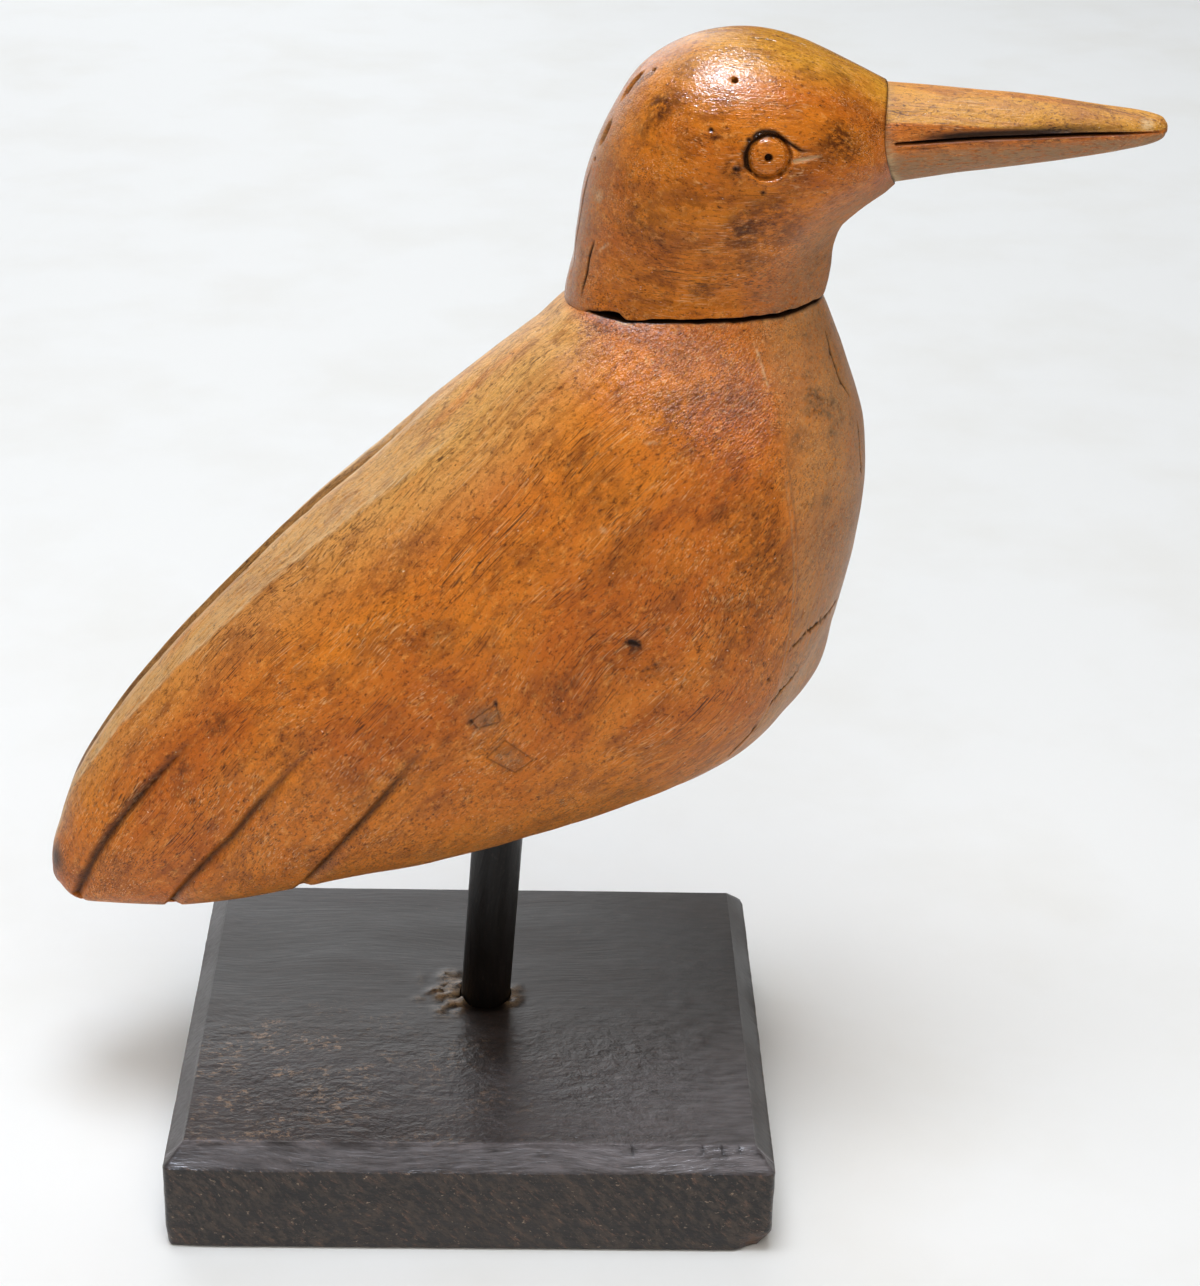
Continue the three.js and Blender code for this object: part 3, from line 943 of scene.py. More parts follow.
# Fine-grained hardwood, carved with knife and gouge, oiled, waxed and worn by hands. It gives the
# eye a warm orange-brown ground in soft clouds, short dark pore lines along the grain, brown patina
# in blotches and cuts, and a satin gloss that breaks up over the fine unevenness of the old wax.
# Some layers also hold painted light: painted shade in the groove between the wings, the eyelid
# line, the mouth slit and beside the bevel's edge, painted highlights on edges, painted glints on
# rough fibres, and painted reflection on the nape, throat and bevel.
# Real pores are about 0.1 mm wide; they are drawn 0.2 mm wide so that the render shows them.
def carved_layers(worn: float, golden: str) -> tuple[Layer, ...]:
    """Lists the carved wood's colours from the ground up.

    Args:
        worn: How strongly pores, scratches and grit show, 1 where the wax has gone.
        golden: The colour of the pale wood on top.

    Returns:
        The layers.
    """
    return (
        Layer("#c06014", 0.75, Pattern(34.0, 18.0, 3.0), 0.4, 0.6),
        Layer(golden, 0.95, Pattern(30.0, 7.0, 3.0), 0.18, 0.44, where="golden"),
        Layer("#98500f", 0.45, Pattern(45.0, 1.4, 3.0), 0.5, 0.66),
        Layer("#874a22", 0.6, Pattern(9.0, 5.5, 6.0, 0.72), 0.5, 0.66),
        Layer("#60290c", 0.7, Pattern(3.2, 1.9, 6.0, 0.85), 0.53, 0.68),
        Layer("#eba552", 0.55, Pattern(2.2, 1.1, 4.0, 0.8), 0.46, 0.33),
        Layer("#4c2107", 0.8 * worn, Pattern(1.1, 0.6, 4.0, 0.75), 0.54, 0.67),
        Layer("#40200e", 0.85 * worn, Pattern(12.0, 0.2, 1.5), 0.57, 0.65, Pattern(18.0, 8.0, 2.0)),
        Layer("#f0c48c", 0.5 * worn, Pattern(9.0, 0.2, 1.0), 0.4, 0.33, Pattern(14.0, 6.0, 2.0)),
        Layer("#2a1208", 0.85, Pattern(1.3, 0.7, 3.0, 0.7), 0.65, 0.72),
        # Pale specks: partly painted glints of the wax on fine bumps.
        Layer("#f8e2c0", 0.8 * worn, Pattern(0.7, 0.5, 1.0), 0.23, 0.19),
        Layer("#8a4a2a", 0.6, Pattern(2.4, 1.2, 5.0, 0.75), 0.5, 0.63, where="coarse_and_glints"),
        # Painted glints: pale flecks where the wood is rough, the light caught on its torn fibres.
        Layer("#ecc9a0", 0.6, Pattern(1.6, 0.35, 3.0, 0.7), 0.41, 0.33, where="coarse_and_glints"),
        # Dark stains; on the body they also hold painted shade in the groove between the wings.
        Layer("#45200d", 0.85, Pattern(2.6, 1.5, 5.0, 0.78), 0.4, 0.56, where="stains_and_shade", where_high=0.65),
        # Grey-tan: wear and dust, with painted reflection on the nape, under the throat and beak, and on the back's
        # flat bevel.
        Layer("#a38765", 0.8, Pattern(4.0, 0.5, 3.0, 0.65), 0.3, 0.55, where="weathering_and_sheen"),
        # Pale: real wear at the neck's rim and scratches, with painted highlights on the back's ridges and bevel, the
        # wing's front edge and the eye's tear line.
        Layer("#dfc295", 0.9, Pattern(14.0, 0.45, 2.0, 0.6), 0.34, 0.54, where="wear_and_highlight"),
        # Dark brown: old grime in cuts, cracks and joints, with painted shade in the groove between the wings, the
        # eyelid line, the mouth slit and beside the bevel's edge.
        Layer("#21140b", 0.96, None, where="dirt_and_shade", where_low=0.1, where_high=0.85),
    )


CARVED_RELIEFS = (
    Relief(Pattern(7.0, 4.5, 2.0), 0.25),
    Relief(Pattern(2.2, 1.5, 3.0, 0.6), 0.1),
    Relief(Pattern(8.0, 0.24, 1.0), 0.06),
    Relief(Pattern(0.7, 0.5, 2.0, 0.7), 0.14),
    Relief(Pattern(1.1, 0.45, 2.0, 0.7), 0.55, "coarse_and_glints"),
)
BODY_WOOD = Wood(
    "carved_waxed_hardwood_body", 50.0, "#dd8226", carved_layers(1.0, "#d9a55c"), CARVED_RELIEFS,
    roughness=0.4, uneven=0.16, specular=0.32,
)
HEAD_WOOD = Wood(
    "carved_waxed_hardwood_head", -3.0, "#da8021", carved_layers(1.0, "#d3972e"), CARVED_RELIEFS,
    roughness=0.2, uneven=0.1, dulling=0.5,
)
# Straight-grained softer wood, turned to a dowel, stained near-black and rubbed with use. It gives
# the eye an even charcoal ground with thin lines along it and a dull sheen; its last few millimetres
# above the block are darkened as painted shade.
ROD_WOOD = Wood(
    "stained_turned_dowel", 86.8, "#100d0c",
    (
        Layer("#231e1c", 0.7, Pattern(30.0, 3.0, 3.0), 0.4, 0.65),
        Layer("#060505", 0.7, Pattern(16.0, 0.5, 2.0), 0.52, 0.66),
        Layer("#3a322d", 0.5, Pattern(1.4, 0.6, 3.0, 0.7), 0.6, 0.7),
        # Near-black: painted shade over the rod's last millimetres above the block.
        Layer("#050404", 0.9, None, where="dirt_and_shade"),
    ),
    (Relief(Pattern(14.0, 0.6, 2.0), 0.08), Relief(Pattern(1.2, 0.8, 2.0), 0.06)),
    roughness=0.42,
)
# The same sort of wood, sawn and planed to a block and stained near-black. It gives the eye a
# charcoal ground that shines where it is smooth, fine ridges along the grain, and brown and tan
# specks where the stain has rubbed off the high spots. A grey-violet layer adds painted sheen on
# the top and the chamfers and a painted highlight along the front chamfer's upper edge, and the
# darkest layer adds painted shade round the rod's foot beside the grime in the nicks.
BLOCK_WOOD = Wood(
    "stained_planed_block", 0.0, "#1a1614",
    (
        Layer("#302b29", 0.8, Pattern(36.0, 14.0, 3.0), 0.38, 0.66),
        Layer("#0c0908", 0.6, Pattern(18.0, 0.9, 3.0), 0.52, 0.68),
        Layer("#4f4136", 0.75, Pattern(3.0, 1.3, 5.0, 0.75, -42.0), 0.46, 0.62, where="worn"),
        Layer("#84604a", 0.55, Pattern(2.6, 0.8, 5.0, 0.75, -42.0), 0.56, 0.68, where="worn"),
        Layer("#b39a80", 0.7, Pattern(1.1, 0.7, 3.0, 0.7), 0.64, 0.73, where="worn"),
        # Grey-violet: painted sheen on the top and the chamfers, and a painted highlight along the front chamfer's
        # upper edge.
        Layer("#8a868c", 0.6, Pattern(6.0, 1.2, 4.0, 0.6), 0.22, 0.66, where="scraped_and_sheen"),
        Layer("#a08468", 0.75, Pattern(1.5, 1.1, 4.0, 0.75), 0.52, 0.64, Pattern(9.0, 6.0, 2.0), where="specked"),
        Layer("#6b4429", 0.75, Pattern(2.0, 1.0, 3.0, 0.7), 0.42, 0.58, where="edge"),
        Layer("#8d7657", 0.92, Pattern(1.3, 1.0, 4.0, 0.8), 0.38, 0.56, where="filler"),
        # Near-black: grime in the nicks and hollows, and painted shade round the rod's foot.
        Layer("#080605", 0.95, None, where="dirt_and_shade"),
    ),
    (
        Relief(Pattern(12.0, 0.8, 2.0), 0.06),
        Relief(Pattern(1.1, 0.7, 3.0, 0.65), 0.14, "worn"),
        Relief(Pattern(4.0, 0.6, 4.0, 0.6), 0.11, "scraped_and_sheen"),
        Relief(Pattern(2.2, 1.4, 3.0, 0.6), 0.3, "rippled"),
    ),
    roughness=0.36, uneven=0.14,
)


# Matt white painted board under the object: it gives the eye a plain pale ground, with scuffs so
# faint that they only keep it from looking empty.
FLOOR_PAINT = Wood(
    "matt_painted_board", 0.0, "#ecf0f2",
    (Layer("#e8ebeb", 1.0, Pattern(60.0, 60.0, 4.0), 0.45, 0.7),),
    (),
    roughness=0.6, uneven=0.02,
)


# The rod's place is shared by the bird and the block


@dataclass(frozen=True)
class RodPlace:
    """Where the rod stands and how it leans.

    Attributes:
        foot_x: Its x where it leaves the block.
        foot_y: Its y.
        lean: Its lean towards the beak, in degrees.
        bottom_z: Height of its lower end.
        top_z: Height of its upper end.
        radius: Its radius.
        clearance: Gap between it and its sockets.
        block_top: Height of the block.
    """

    foot_x: float = 2.0
    foot_y: float = 5.0
    lean: float = 3.2
    bottom_z: float = 10.0
    top_z: float = 79.0
    radius: float = 5.0
    clearance: float = 0.3
    block_top: float = 22.0

    @property
    def axis(self) -> Vector:
        """Direction of the rod, upwards."""
        lean = math.radians(self.lean)
        return Vector((math.sin(lean), 0.0, math.cos(lean)))

    def at(self, z: float) -> Vector:
        """The rod's middle at a height."""
        x = self.foot_x + (z - self.block_top) * math.tan(math.radians(self.lean))
        return Vector((x, self.foot_y, z))


# The bird


@dataclass
class BirdBody:
    """Body with both folded wings and the tail, carved from one block.

    Attributes:
        slices: The plain form.
        valley_half: Half the width of the groove between the wings.
        valley_full: Depth from which the groove has its full width.
        valley_depths: Depth of that groove, by slice.
        bevel: Angle round the slice at which the flat bevel beside the groove ends, in degrees.
        edge_degrees: Angle of the wing's edge, by slice.
        step_heights: Height of the step at the wing's edge, by slice.
        step_width: Width of that step, in degrees.
        swell_width: Angle over which the wing rises towards its edge, in degrees.
        feather_cuts: Cuts between the feathers: rows of slice and degrees, from the point down.
        wing_front: Front edge of the wing: rows of slice and degrees.
        cracks: Drying cracks on the near side: rows of slice and degrees.
        plugs: Outlines of two old patches on the near side: rows of slice and degrees.
        pits: Small pits on the near side: slice, degrees, radius, depth, dirt.
        stains: Dark spots on the near side: slice, degrees, radius, strength.
        pale_lines: Thin bare lines on the near side: rows of slice and degrees.
        swells: Gentle swells and hollows left by the knife: slice, degrees, radius, height.
        finish: The wood.
        rows: Number of rings between tail and neck.
        columns: Number of points across groove, bevel, wing, step and belly, on one side.
    """

    slices: Slices = field(default_factory=lambda: Slices((
        (-83.8, 52.5, -82.3, 49.0, 3.5, 0.5, 2.2, 2.4),
        (-82.4, 60.0, -77.0, 47.3, 9.5, 0.55, 1.9, 3.0),
        (-78.8, 73.0, -66.0, 48.0, 14.0, 0.6, 1.8, 3.2),
        (-71.0, 86.7, -50.0, 50.3, 18.0, 0.62, 1.75, 3.2),
        (-59.7, 101.6, -31.0, 55.2, 22.0, 0.62, 1.75, 3.0),
        (-46.5, 116.6, -10.0, 60.4, 26.0, 0.6, 1.75, 2.8),
        (-31.7, 131.5, 13.0, 67.4, 29.0, 0.58, 1.8, 2.6),
        (-17.3, 143.6, 34.0, 75.3, 30.5, 0.57, 1.85, 2.5),
        (-5.4, 154.4, 52.5, 85.4, 30.5, 0.56, 1.9, 2.4),
        (3.5, 162.2, 63.6, 101.0, 29.5, 0.55, 2.0, 2.3),
        (8.7, 166.4, 68.7, 118.6, 27.5, 0.54, 2.1, 2.2),
        (12.0, 168.6, 71.2, 135.0, 24.5, 0.53, 2.15, 2.2),
        (14.4, 170.3, 70.4, 150.0, 20.5, 0.52, 2.2, 2.2),
        (15.9, 171.2, 66.5, 163.0, 16.2, 0.51, 2.3, 2.3),
        (16.6, 171.6, 61.4, 174.0, 13.4, 0.5, 2.3, 2.3),
    )))
    valley_half: float = 2.4
    valley_full: float = 1.5
    valley_depths: Row = (0, 0, 1.8, 3.2, 3.6, 3.4, 2.6, 1.4, 0, 0, 0, 0, 0, 0, 0)
    bevel: float = 22.0
    edge_degrees: Row = (120, 125, 130, 135, 138, 140, 141, 141, 140, 131.5, 123.2, 114.5, 110, 108, 106)
    step_heights: Row = (0.2, 0.5, 0.8, 0.9, 0.9, 0.9, 0.9, 0.9, 0.9, 1.0, 1.1, 0.9, 0.4, 0, 0)
    step_width: float = 3.0
    swell_width: float = 45.0
    feather_cuts: tuple[tuple[Row, ...], ...] = (
        ((4.14, 50.3), (3.95, 51.6), (3.46, 54.6), (2.91, 59.6), (2.36, 67.2), (1.79, 79), (1.28, 96.5), (0.95, 118)),
        ((4.98, 75), (4.71, 77), (4.08, 84.5), (3.41, 98), (2.83, 117), (2.5, 134)),
        ((5.94, 87.5), (5.67, 90), (5.14, 101), (4.59, 114), (4.14, 128), (3.9, 139)),
    )
    wing_front: tuple[Row, ...] = (
        (11.4, 111.5), (11.03, 113.4), (10.54, 117.7), (10.19, 121.4), (9.75, 125.6), (9.3, 128.9),
        (8.93, 133.1), (8.52, 139.4), (8.2, 142.5),
    )
    cracks: tuple[tuple[Row, ...], ...] = (
        ((9.88, 160.3), (9.8, 153.7), (9.67, 146.4), (9.55, 140.7), (9.44, 136.8), (9.16, 131.5)),
        ((9.09, 143.2), (8.93, 140.9), (8.63, 138.2), (8.33, 137.9), (8.0, 138.9), (7.89, 141.5)),
        ((13.6, 152.5), (12.87, 149.8), (12.66, 151.9), (12.45, 156.1)),
        ((12.13, 157.0), (11.66, 157.4), (11.37, 160.0)),
    )
    plugs: tuple[tuple[Row, ...], ...] = (
        ((6.38, 85.9), (6.67, 84.7), (6.6, 89.0), (6.39, 88.1), (6.38, 85.9)),
        ((6.52, 94.8), (6.61, 104.8), (6.4, 106.4), (6.28, 98.1), (6.52, 94.8)),
    )
    pits: tuple[Row, ...] = (
        (8.11, 88.9, 0.9, 0.4, 1.0), (8.14, 89.8, 0.7, 0.35, 1.0), (8.16, 90.9, 0.6, 0.3, 0.8),
        (8.18, 80.0, 0.4, 0.15, 0.5), (8.51, 93.6, 0.5, 0.2, 0.6), (8.14, 98.0, 0.5, 0.2, 0.6),
        (8.06, 97.5, 0.5, 0.2, 0.6), (7.28, 89.8, 0.4, 0.15, 0.5), (7.37, 88.4, 0.5, 0.15, 0.5),
        (6.67, 84.7, 0.5, 0.2, 0.8), (6.38, 85.9, 0.5, 0.2, 0.7), (8.86, 128.3, 0.5, 0.25, 0.8),
    )
    stains: tuple[Row, ...] = (
        (12.54, 128.4, 2.0, 0.8), (12.31, 128.5, 2.2, 0.9), (12.37, 136.3, 2.6, 0.85),
        (12.22, 140.2, 2.0, 0.7), (11.99, 135.1, 2.0, 0.6), (11.82, 118.9, 3.0, 0.4),
        (9.97, 116.1, 5.0, 0.45), (9.6, 115.1, 5.0, 0.4), (9.32, 113.3, 4.5, 0.45), (9.03, 112.8, 4.0, 0.4),
        (6.54, 87.0, 3.0, 0.4), (6.09, 88.3, 2.5, 0.4), (6.44, 101.0, 3.5, 0.35),
        (8.11, 89.9, 2.0, 0.6), (8.1, 97.8, 2.4, 0.45), (7.35, 88.8, 2.6, 0.35), (13.2, 41.0, 3.0, 0.4),
        (12.8, 75.0, 4.0, 0.35), (12.2, 95.0, 5.0, 0.35), (11.4, 70.0, 4.5, 0.3), (10.4, 96.0, 5.0, 0.3),
        (7.9, 62.0, 5.0, 0.25), (5.2, 92.0, 6.0, 0.25), (3.6, 62.0, 4.0, 0.3), (2.2, 84.0, 4.0, 0.25),
        (12.38, 133.5, 2.2, 0.7), (11.07, 132.2, 1.8, 0.6), (10.3, 106.0, 6.0, 0.4), (9.9, 108.0, 6.0, 0.4),
        (4.3, 52.0, 3.0, 0.5), (3.7, 58.0, 3.0, 0.45), (6.5, 64.3, 5.0, 0.3), (8.66, 75.0, 5.0, 0.3),
        (11.9, 80.8, 4.0, 0.3), (9.1, 60.0, 6.0, 0.3), (13.2, 60.0, 3.0, 0.35), (7.2, 91.0, 6.0, 0.3),
    )
    pale_lines: tuple[tuple[Row, ...], ...] = (
        ((13.5, 109.1), (13.0, 108.7), (12.6, 108.6)),
        ((8.7, 66.0), (8.78, 68.5)),
        ((10.4, 66.0), (10.55, 69.0)),
    )
    swells: tuple[Row, ...] = (
        (7.3, -12.0, 26.0, 0.6), (4.9, -12.0, 20.0, -0.4), (13.9, -20.0, 9.0, 1.3), (13.9, 22.0, 8.0, 1.0),
        (9.0, 168.0, 11.0, 1.1), (8.1, 165.0, 8.0, -0.4), (4.6, 178.0, 22.0, -1.2), (1.6, 172.0, 16.0, -0.5),
        (13.0, 165.0, 13.0, -0.5), (0.9, 35.0, 7.0, 0.5),
    )
    finish: Wood = BODY_WOOD
    rows: int = 236
    columns: tuple[int, ...] = (6, 18, 80, 8, 28)

    def half_angles(self, s: Array) -> Array:
        """Angles round half a slice, with points on the lines of groove, bevel and wing edge.

        Args:
            s: Places along the slices.

        Returns:
            The angles, by place and by point.
        """
        half_width = along_rows(self.slices.rows, s)[..., 4]
        ridge = np.arcsin(np.minimum(0.5, self.valley_half / half_width))
        bevel = np.maximum(math.radians(self.bevel), 1.5 * ridge)
        edge = np.radians(along_values(self.edge_degrees, s))
        step = edge + math.radians(self.step_width)
        limits = [np.zeros_like(s), ridge, bevel, edge, step, np.full_like(s, math.pi)]
        parts = []
        for start, end, count in zip(limits, limits[1:], self.columns):
            share = np.arange(count) / count
            parts.append(start[:, None] + (end - start)[:, None] * share)
        return np.concatenate([*parts, limits[-1][:, None]], axis=1)

    def plain_point(self, s: Array, a: Array) -> Array:
        """Points of the body with its groove and wing edges, before the flat bevels.

        Args:
            s: Places along the slices.
            a: Angles round the slice.

        Returns:
            The points.
        """
        s, a = np.broadcast_arrays(np.asarray(s, dtype=float), np.asarray(a, dtype=float))
        valley = np.maximum(0.0, along_values(self.valley_depths, s))
        narrow = np.clip(valley / self.valley_full, 0.2, 1.0)
        edge = np.radians(along_values(self.edge_degrees, s))
        step = np.maximum(0.0, along_values(self.step_heights, s))
        turn = np.abs(a)
        on_wing = 1.0 - smooth_step(0.0, 1.0, (turn - edge) / math.radians(self.step_width))
        near_edge = smooth_step(0.0, 1.0, (turn - edge) / math.radians(self.swell_width) + 1.0)
        return self.slices.point(s, a, valley, self.valley_half * narrow, step * on_wing * near_edge)

    def skin(self) -> Skin:
        """Lays the rings of the body, with flat bevels beside the groove.

        Returns:
            The skin with rings that close the tail and the neck.
        """
        s = np.linspace(0, self.slices.last, self.rows)
        half = self.half_angles(s)
        angles = np.concatenate([half, -half[:, -2:0:-1]], axis=1)
        rings = self.plain_point(s[:, None], angles)
        first = self.columns[0]
        second = first + self.columns[1]
        flat = smooth_step(9.0, 7.5, s)[:, None, None]
        count = angles.shape[1]
        for start, end in ((0, first), (first, second)):
            share = (np.arange(start, end + 1) - start)[None, :, None] / (end - start)
            for turn in (1, -1):
                index = (turn * np.arange(start, end + 1)) % count
                chord = rings[:, index[:1]] * (1 - share) + rings[:, index[-1:]] * share
                rings[:, index] = rings[:, index] * (1 - flat) + chord * flat
        rings, s, around = close_ends(rings, s, np.abs(angles))
        return Skin("carved_body", rings, s, around)

    def rim_angle(self, s: float) -> float:
        """Angle round the slice of the groove's rim, in radians."""
        half_width = float(along_rows(self.slices.rows, s)[4])
        return math.asin(min(0.5, self.valley_half / half_width))

    def path(self, rows: Iterable[Row], side: Side, fineness: int = 4) -> Array:
        """Turns a line in the table into points on the surface.

        Args:
            rows: Rows of slice and degrees.
            side: The side of the bird.
            fineness: Points per row.

        Returns:
            The points.
        """
        rows = tuple(rows)
        line = along_rows(rows, np.linspace(0, len(rows) - 1, (len(rows) - 1) * fineness + 1))
        return self.plain_point(line[:, 0], side.value * np.radians(line[:, 1]))

    def marks(self) -> list[Mark]:
        """Lists the cuts on both sides, and the near side's cracks and pits."""
        found: list[Mark] = []
        for side in Side:
            for rows in self.feather_cuts:
                path = self.path(rows, side)
                lean = 0.45 * side.value
                found.append(Cut(path, 1.25, 1.5, 0.4, lean=lean, darkening=0.75, raised=0.06, darkening_width=0.6))
            rim = [(s, math.degrees(self.rim_angle(s))) for s in np.linspace(1.2, 7.6, 17)]
            found.append(Cut(self.path(rim, side, 2), 0.5, 1.7, 0.2, 0.2, darkening=0.0))
            front = self.path(self.wing_front, side)
            found.append(Cut(front, 0.3, 0.5, 0.3, 0.3, darkening=0.2, raised=0.13, darkening_width=0.6))
        for rows in self.cracks:
            found.append(Cut(self.path(rows, Side.NEAR), 0.5, 0.3, 0.25, 0.25, darkening=1.0))
        for rows in self.plugs:
            corners = self.path(rows, Side.NEAR, 1)
            found.append(Cut(corners, 0.12, 0.3, 0.001, darkening=0.5))
        for s, degrees, radius, depth, darkening in self.pits:
            found.append(Dent(self.plain_point(s, math.radians(degrees)), radius, depth, darkening))
        for s, degrees, radius, height in self.swells:
            found.append(Dent(self.plain_point(s, math.radians(degrees)), radius, -height, 0.0))
        return found

    def rim_drop(self, degrees: Array) -> Array:
        """How far the neck's rim stands above its plain height on the near side."""
        places = (0, 28, 33, 42, 50, 54, 63, 70, 81, 98, 115, 127, 139, 148, 166, 180)
        heights = (0.4, 0.4, 0.0, -0.2, -0.2, -0.4, -0.3, -0.3, -0.3, -0.35, -0.35, -0.3, 0.0, 0.3, 0.4, 0.4)
        return np.interp(degrees, places, heights)

    def build(self, rod: RodPlace) -> bpy.types.Object:
        """Builds the piece.

        Args:
            rod: The rod's place, for its socket.

        Returns:
            The piece.
        """
        mesh = self.skin().mesh()
        bore_hole(mesh, rod.at(rod.top_z), rod.axis, rod.radius + rod.clearance, 12.0, -1.0)
        marks = self.marks()
        refine(mesh, marks)
        points = points_of(mesh)
        along = get_values(mesh, "along")
        degrees = np.degrees(get_values(mesh, "around"))
        normals = normals_of(mesh)
        uneven = 0.16 * lattice_noise(points, 13.0, 3) + 0.07 * lattice_noise(points, 5.0, 4)
        pecked = smooth_step(0.45, 0.9, lattice_noise(points, 3.2, 5)) * 0.12
        near = points[:, 1] < self.slices.middle_y
        neck = smooth_step(13.2, 14.0, along)
        lift = np.where(near, self.rim_drop(degrees), 0.15 * lattice_noise(points, 9.0, 6))
        chips = np.clip(layered_noise(points, 2.4, 7), 0.0, 1.0) * smooth_step(13.75, 14.0, along)
        extra = normals * (uneven - pecked)[:, None]
        extra[:, 2] += neck * lift - 0.5 * chips
        carve(mesh, marks, extra)
        self.dress(mesh, marks, points, along, degrees, near)
        return make_piece(mesh, "bird_body", self.finish.build())

    def dress(self, mesh: bpy.types.Mesh, marks: list[Mark], points: Array, along: Array, degrees: Array,
              near: Array) -> None:
        """Puts the values on the mesh that its finish reads.

        Args:
            mesh: The mesh.
            marks: Its marks.
            points: Its points before they were carved.
            along: Place of each point along the slices.
            degrees: Angle of each point from the back.
            near: Whether each point is on the near side.
        """
        facet = smooth_step(0.35, -0.35, self.ridge_gap(degrees, along, self.bevel)) * smooth_step(8.5, 6.5, along)
        golden = smooth_step(54.0, 22.0, degrees) * smooth_step(14.0, 12.0, along)
        # Painted sheen: the flat bevel beside the groove faces up and is painted paler through the golden, pale and
        # grey-tan values.
        golden = np.maximum(golden * (0.45 + 0.55 * smooth_step(4.0, 8.0, along)), 0.85 * facet)
        front = np.array(self.wing_front[::-1])
        beyond_wing = degrees - np.interp(along, front[:, 0], front[:, 1]) + 5.0 * lattice_noise(points, 8.0, 8)
        chest = smooth_step(-7.0, 9.0, beyond_wing) * smooth_step(7.5, 8.5, along)
        golden = np.maximum(golden, 0.25 * chest)
        valley = np.maximum(0.0, along_values(self.valley_depths, along)) / 3.6
        across = np.abs(points[:, 1] - self.slices.middle_y)
        # The groove between the wings is darkened through the dark and stain layers: dirt, and painted shade on its
        # far wall.
        in_valley = np.clip(1.6 * valley, 0.0, 1.0) * smooth_step(2.5, 2.2, across) * (degrees < 40)
        broken = smooth_step(-0.5, 0.3, lattice_noise(points, 2.5, 9))
        # Painted highlights: pale lines along the groove's rim and the bevel's edge, and a paler flat bevel, laid in
        # the same pale layer as real wear.
        ridge = (1.0 - in_valley) * self.ridge_line(degrees, along, 0.0, 0.5)
        ridge += broken * self.ridge_line(degrees, along, self.bevel, 0.35)
        ridge += 0.4 * (1.0 - in_valley) * facet
        pale = dirt_and_shade_of(points, [Cut(self.path(rows, Side.NEAR), 0.1, 0.3) for rows in self.pale_lines])
        # Painted highlight: a pale line along the wing's front edge.
        pale = np.maximum(pale, 0.7 * dirt_and_shade_of(points, [Cut(self.path(self.wing_front, Side.NEAR), 0.1, 0.22)]))
        tail_end = smooth_step(0.4, 0.05, along)
        rim = smooth_step(13.93, 14.0, along)
        tail_patch = spots(points, [(-82.8, -2.5, 58.0, 4.6, 0.75)], 34)
        marked = dirt_and_shade_of(points, marks)
        # Painted shade: a thin broken dark line just beside the bevel's edge, along that crease.
        seam = 0.4 * broken * self.ridge_line(degrees, along, self.bevel + 1.6, 0.3)
        dirt_and_shade = np.maximum.reduce([marked, seam, 0.4 * in_valley, 0.35 * tail_end, 0.85 * rim, tail_patch])
        chipped = smooth_step(-0.3, 0.5, lattice_noise(points, 1.3, 10))
        rubbed_rim = chipped * np.where(near, smooth_step(13.7, 13.93, along), 0.3 * smooth_step(13.7, 13.9, along))
        left = smooth_step(75.0, 45.0, degrees)
        middles = []
        for s, angle, radius, strength in self.stains:
            middles.append((*self.plain_point(s, math.radians(angle)), radius, strength))
        stains_and_shade = np.maximum(spots(points, middles, 31), 0.25 * in_valley)
        plugs = []
        for rows in self.plugs:
            plugs.append((*self.path(rows[:-1], Side.NEAR, 1).mean(axis=0), 3.0, 1.0))
        dusty = spots(points, plugs, 35)
        coarse_and_glints = smooth_step(14.5, 12.5, along) * smooth_step(10.0, 12.3, along)
        coarse_and_glints *= smooth_step(20.0, 45.0, degrees) * smooth_step(120.0, 95.0, degrees)
        weathering_and_sheen = 0.1 * facet + 0.4 * smooth_step(112.0, 150.0, degrees) + 0.35 * chest + 0.4 * tail_patch
        weathering_and_sheen += 0.42 * dusty
        set_values(mesh, "golden", np.clip(golden, 0.0, 1.0))
        set_values(mesh, "dirt_and_shade", np.clip(dirt_and_shade, 0.0, 1.0))
        set_values(mesh, "wear_and_highlight", np.clip(ridge + 0.6 * rubbed_rim * (0.3 + left) + 0.6 * pale, 0.0, 1.0))
        set_values(mesh, "weathering_and_sheen", np.clip(weathering_and_sheen, 0.0, 1.0))
        set_values(mesh, "stains_and_shade", stains_and_shade)
        set_values(mesh, "coarse_and_glints", np.clip(0.12 + 0.88 * coarse_and_glints + 0.7 * dusty, 0.0, 1.0))

    def ridge_line(self, degrees: Array, along: Array, angle: float, width: float) -> Array:
        """A soft line along a long edge beside the groove; it places the painted highlights on these edges and the
        painted shade just beside the bevel's edge.

        Args:
            degrees: Angle of each point from the back.
            along: Place of each point along the slices.
            angle: The edge's angle, or 0 for the rim of the groove itself.
            width: Width of the line, in millimetres.

        Returns:
            A value from 0 to 1 for each point.
        """
        length = smooth_step(0.3, 1.5, along) * smooth_step(8.5, 7.0, along)
        return 0.8 * length * np.exp(-((self.ridge_gap(degrees, along, angle) / width) ** 2))

    def ridge_gap(self, degrees: Array, along: Array, angle: float) -> Array:
        """Distance of points from a long edge beside the groove, in millimetres, below 0 towards the groove.

        Args:
            degrees: Angle of each point from the back.
            along: Place of each point along the slices.
            angle: The edge's angle, or 0 for the rim of the groove itself.

        Returns:
            A distance for each point.
        """
        half_width = np.maximum(along_rows(self.slices.rows, along)[:, 4], 1.0)
        ridge = np.degrees(np.arcsin(np.minimum(0.5, self.valley_half / half_width)))
        place = np.maximum(angle, 1.5 * ridge) if angle else ridge
        return np.radians(degrees - place) * half_width


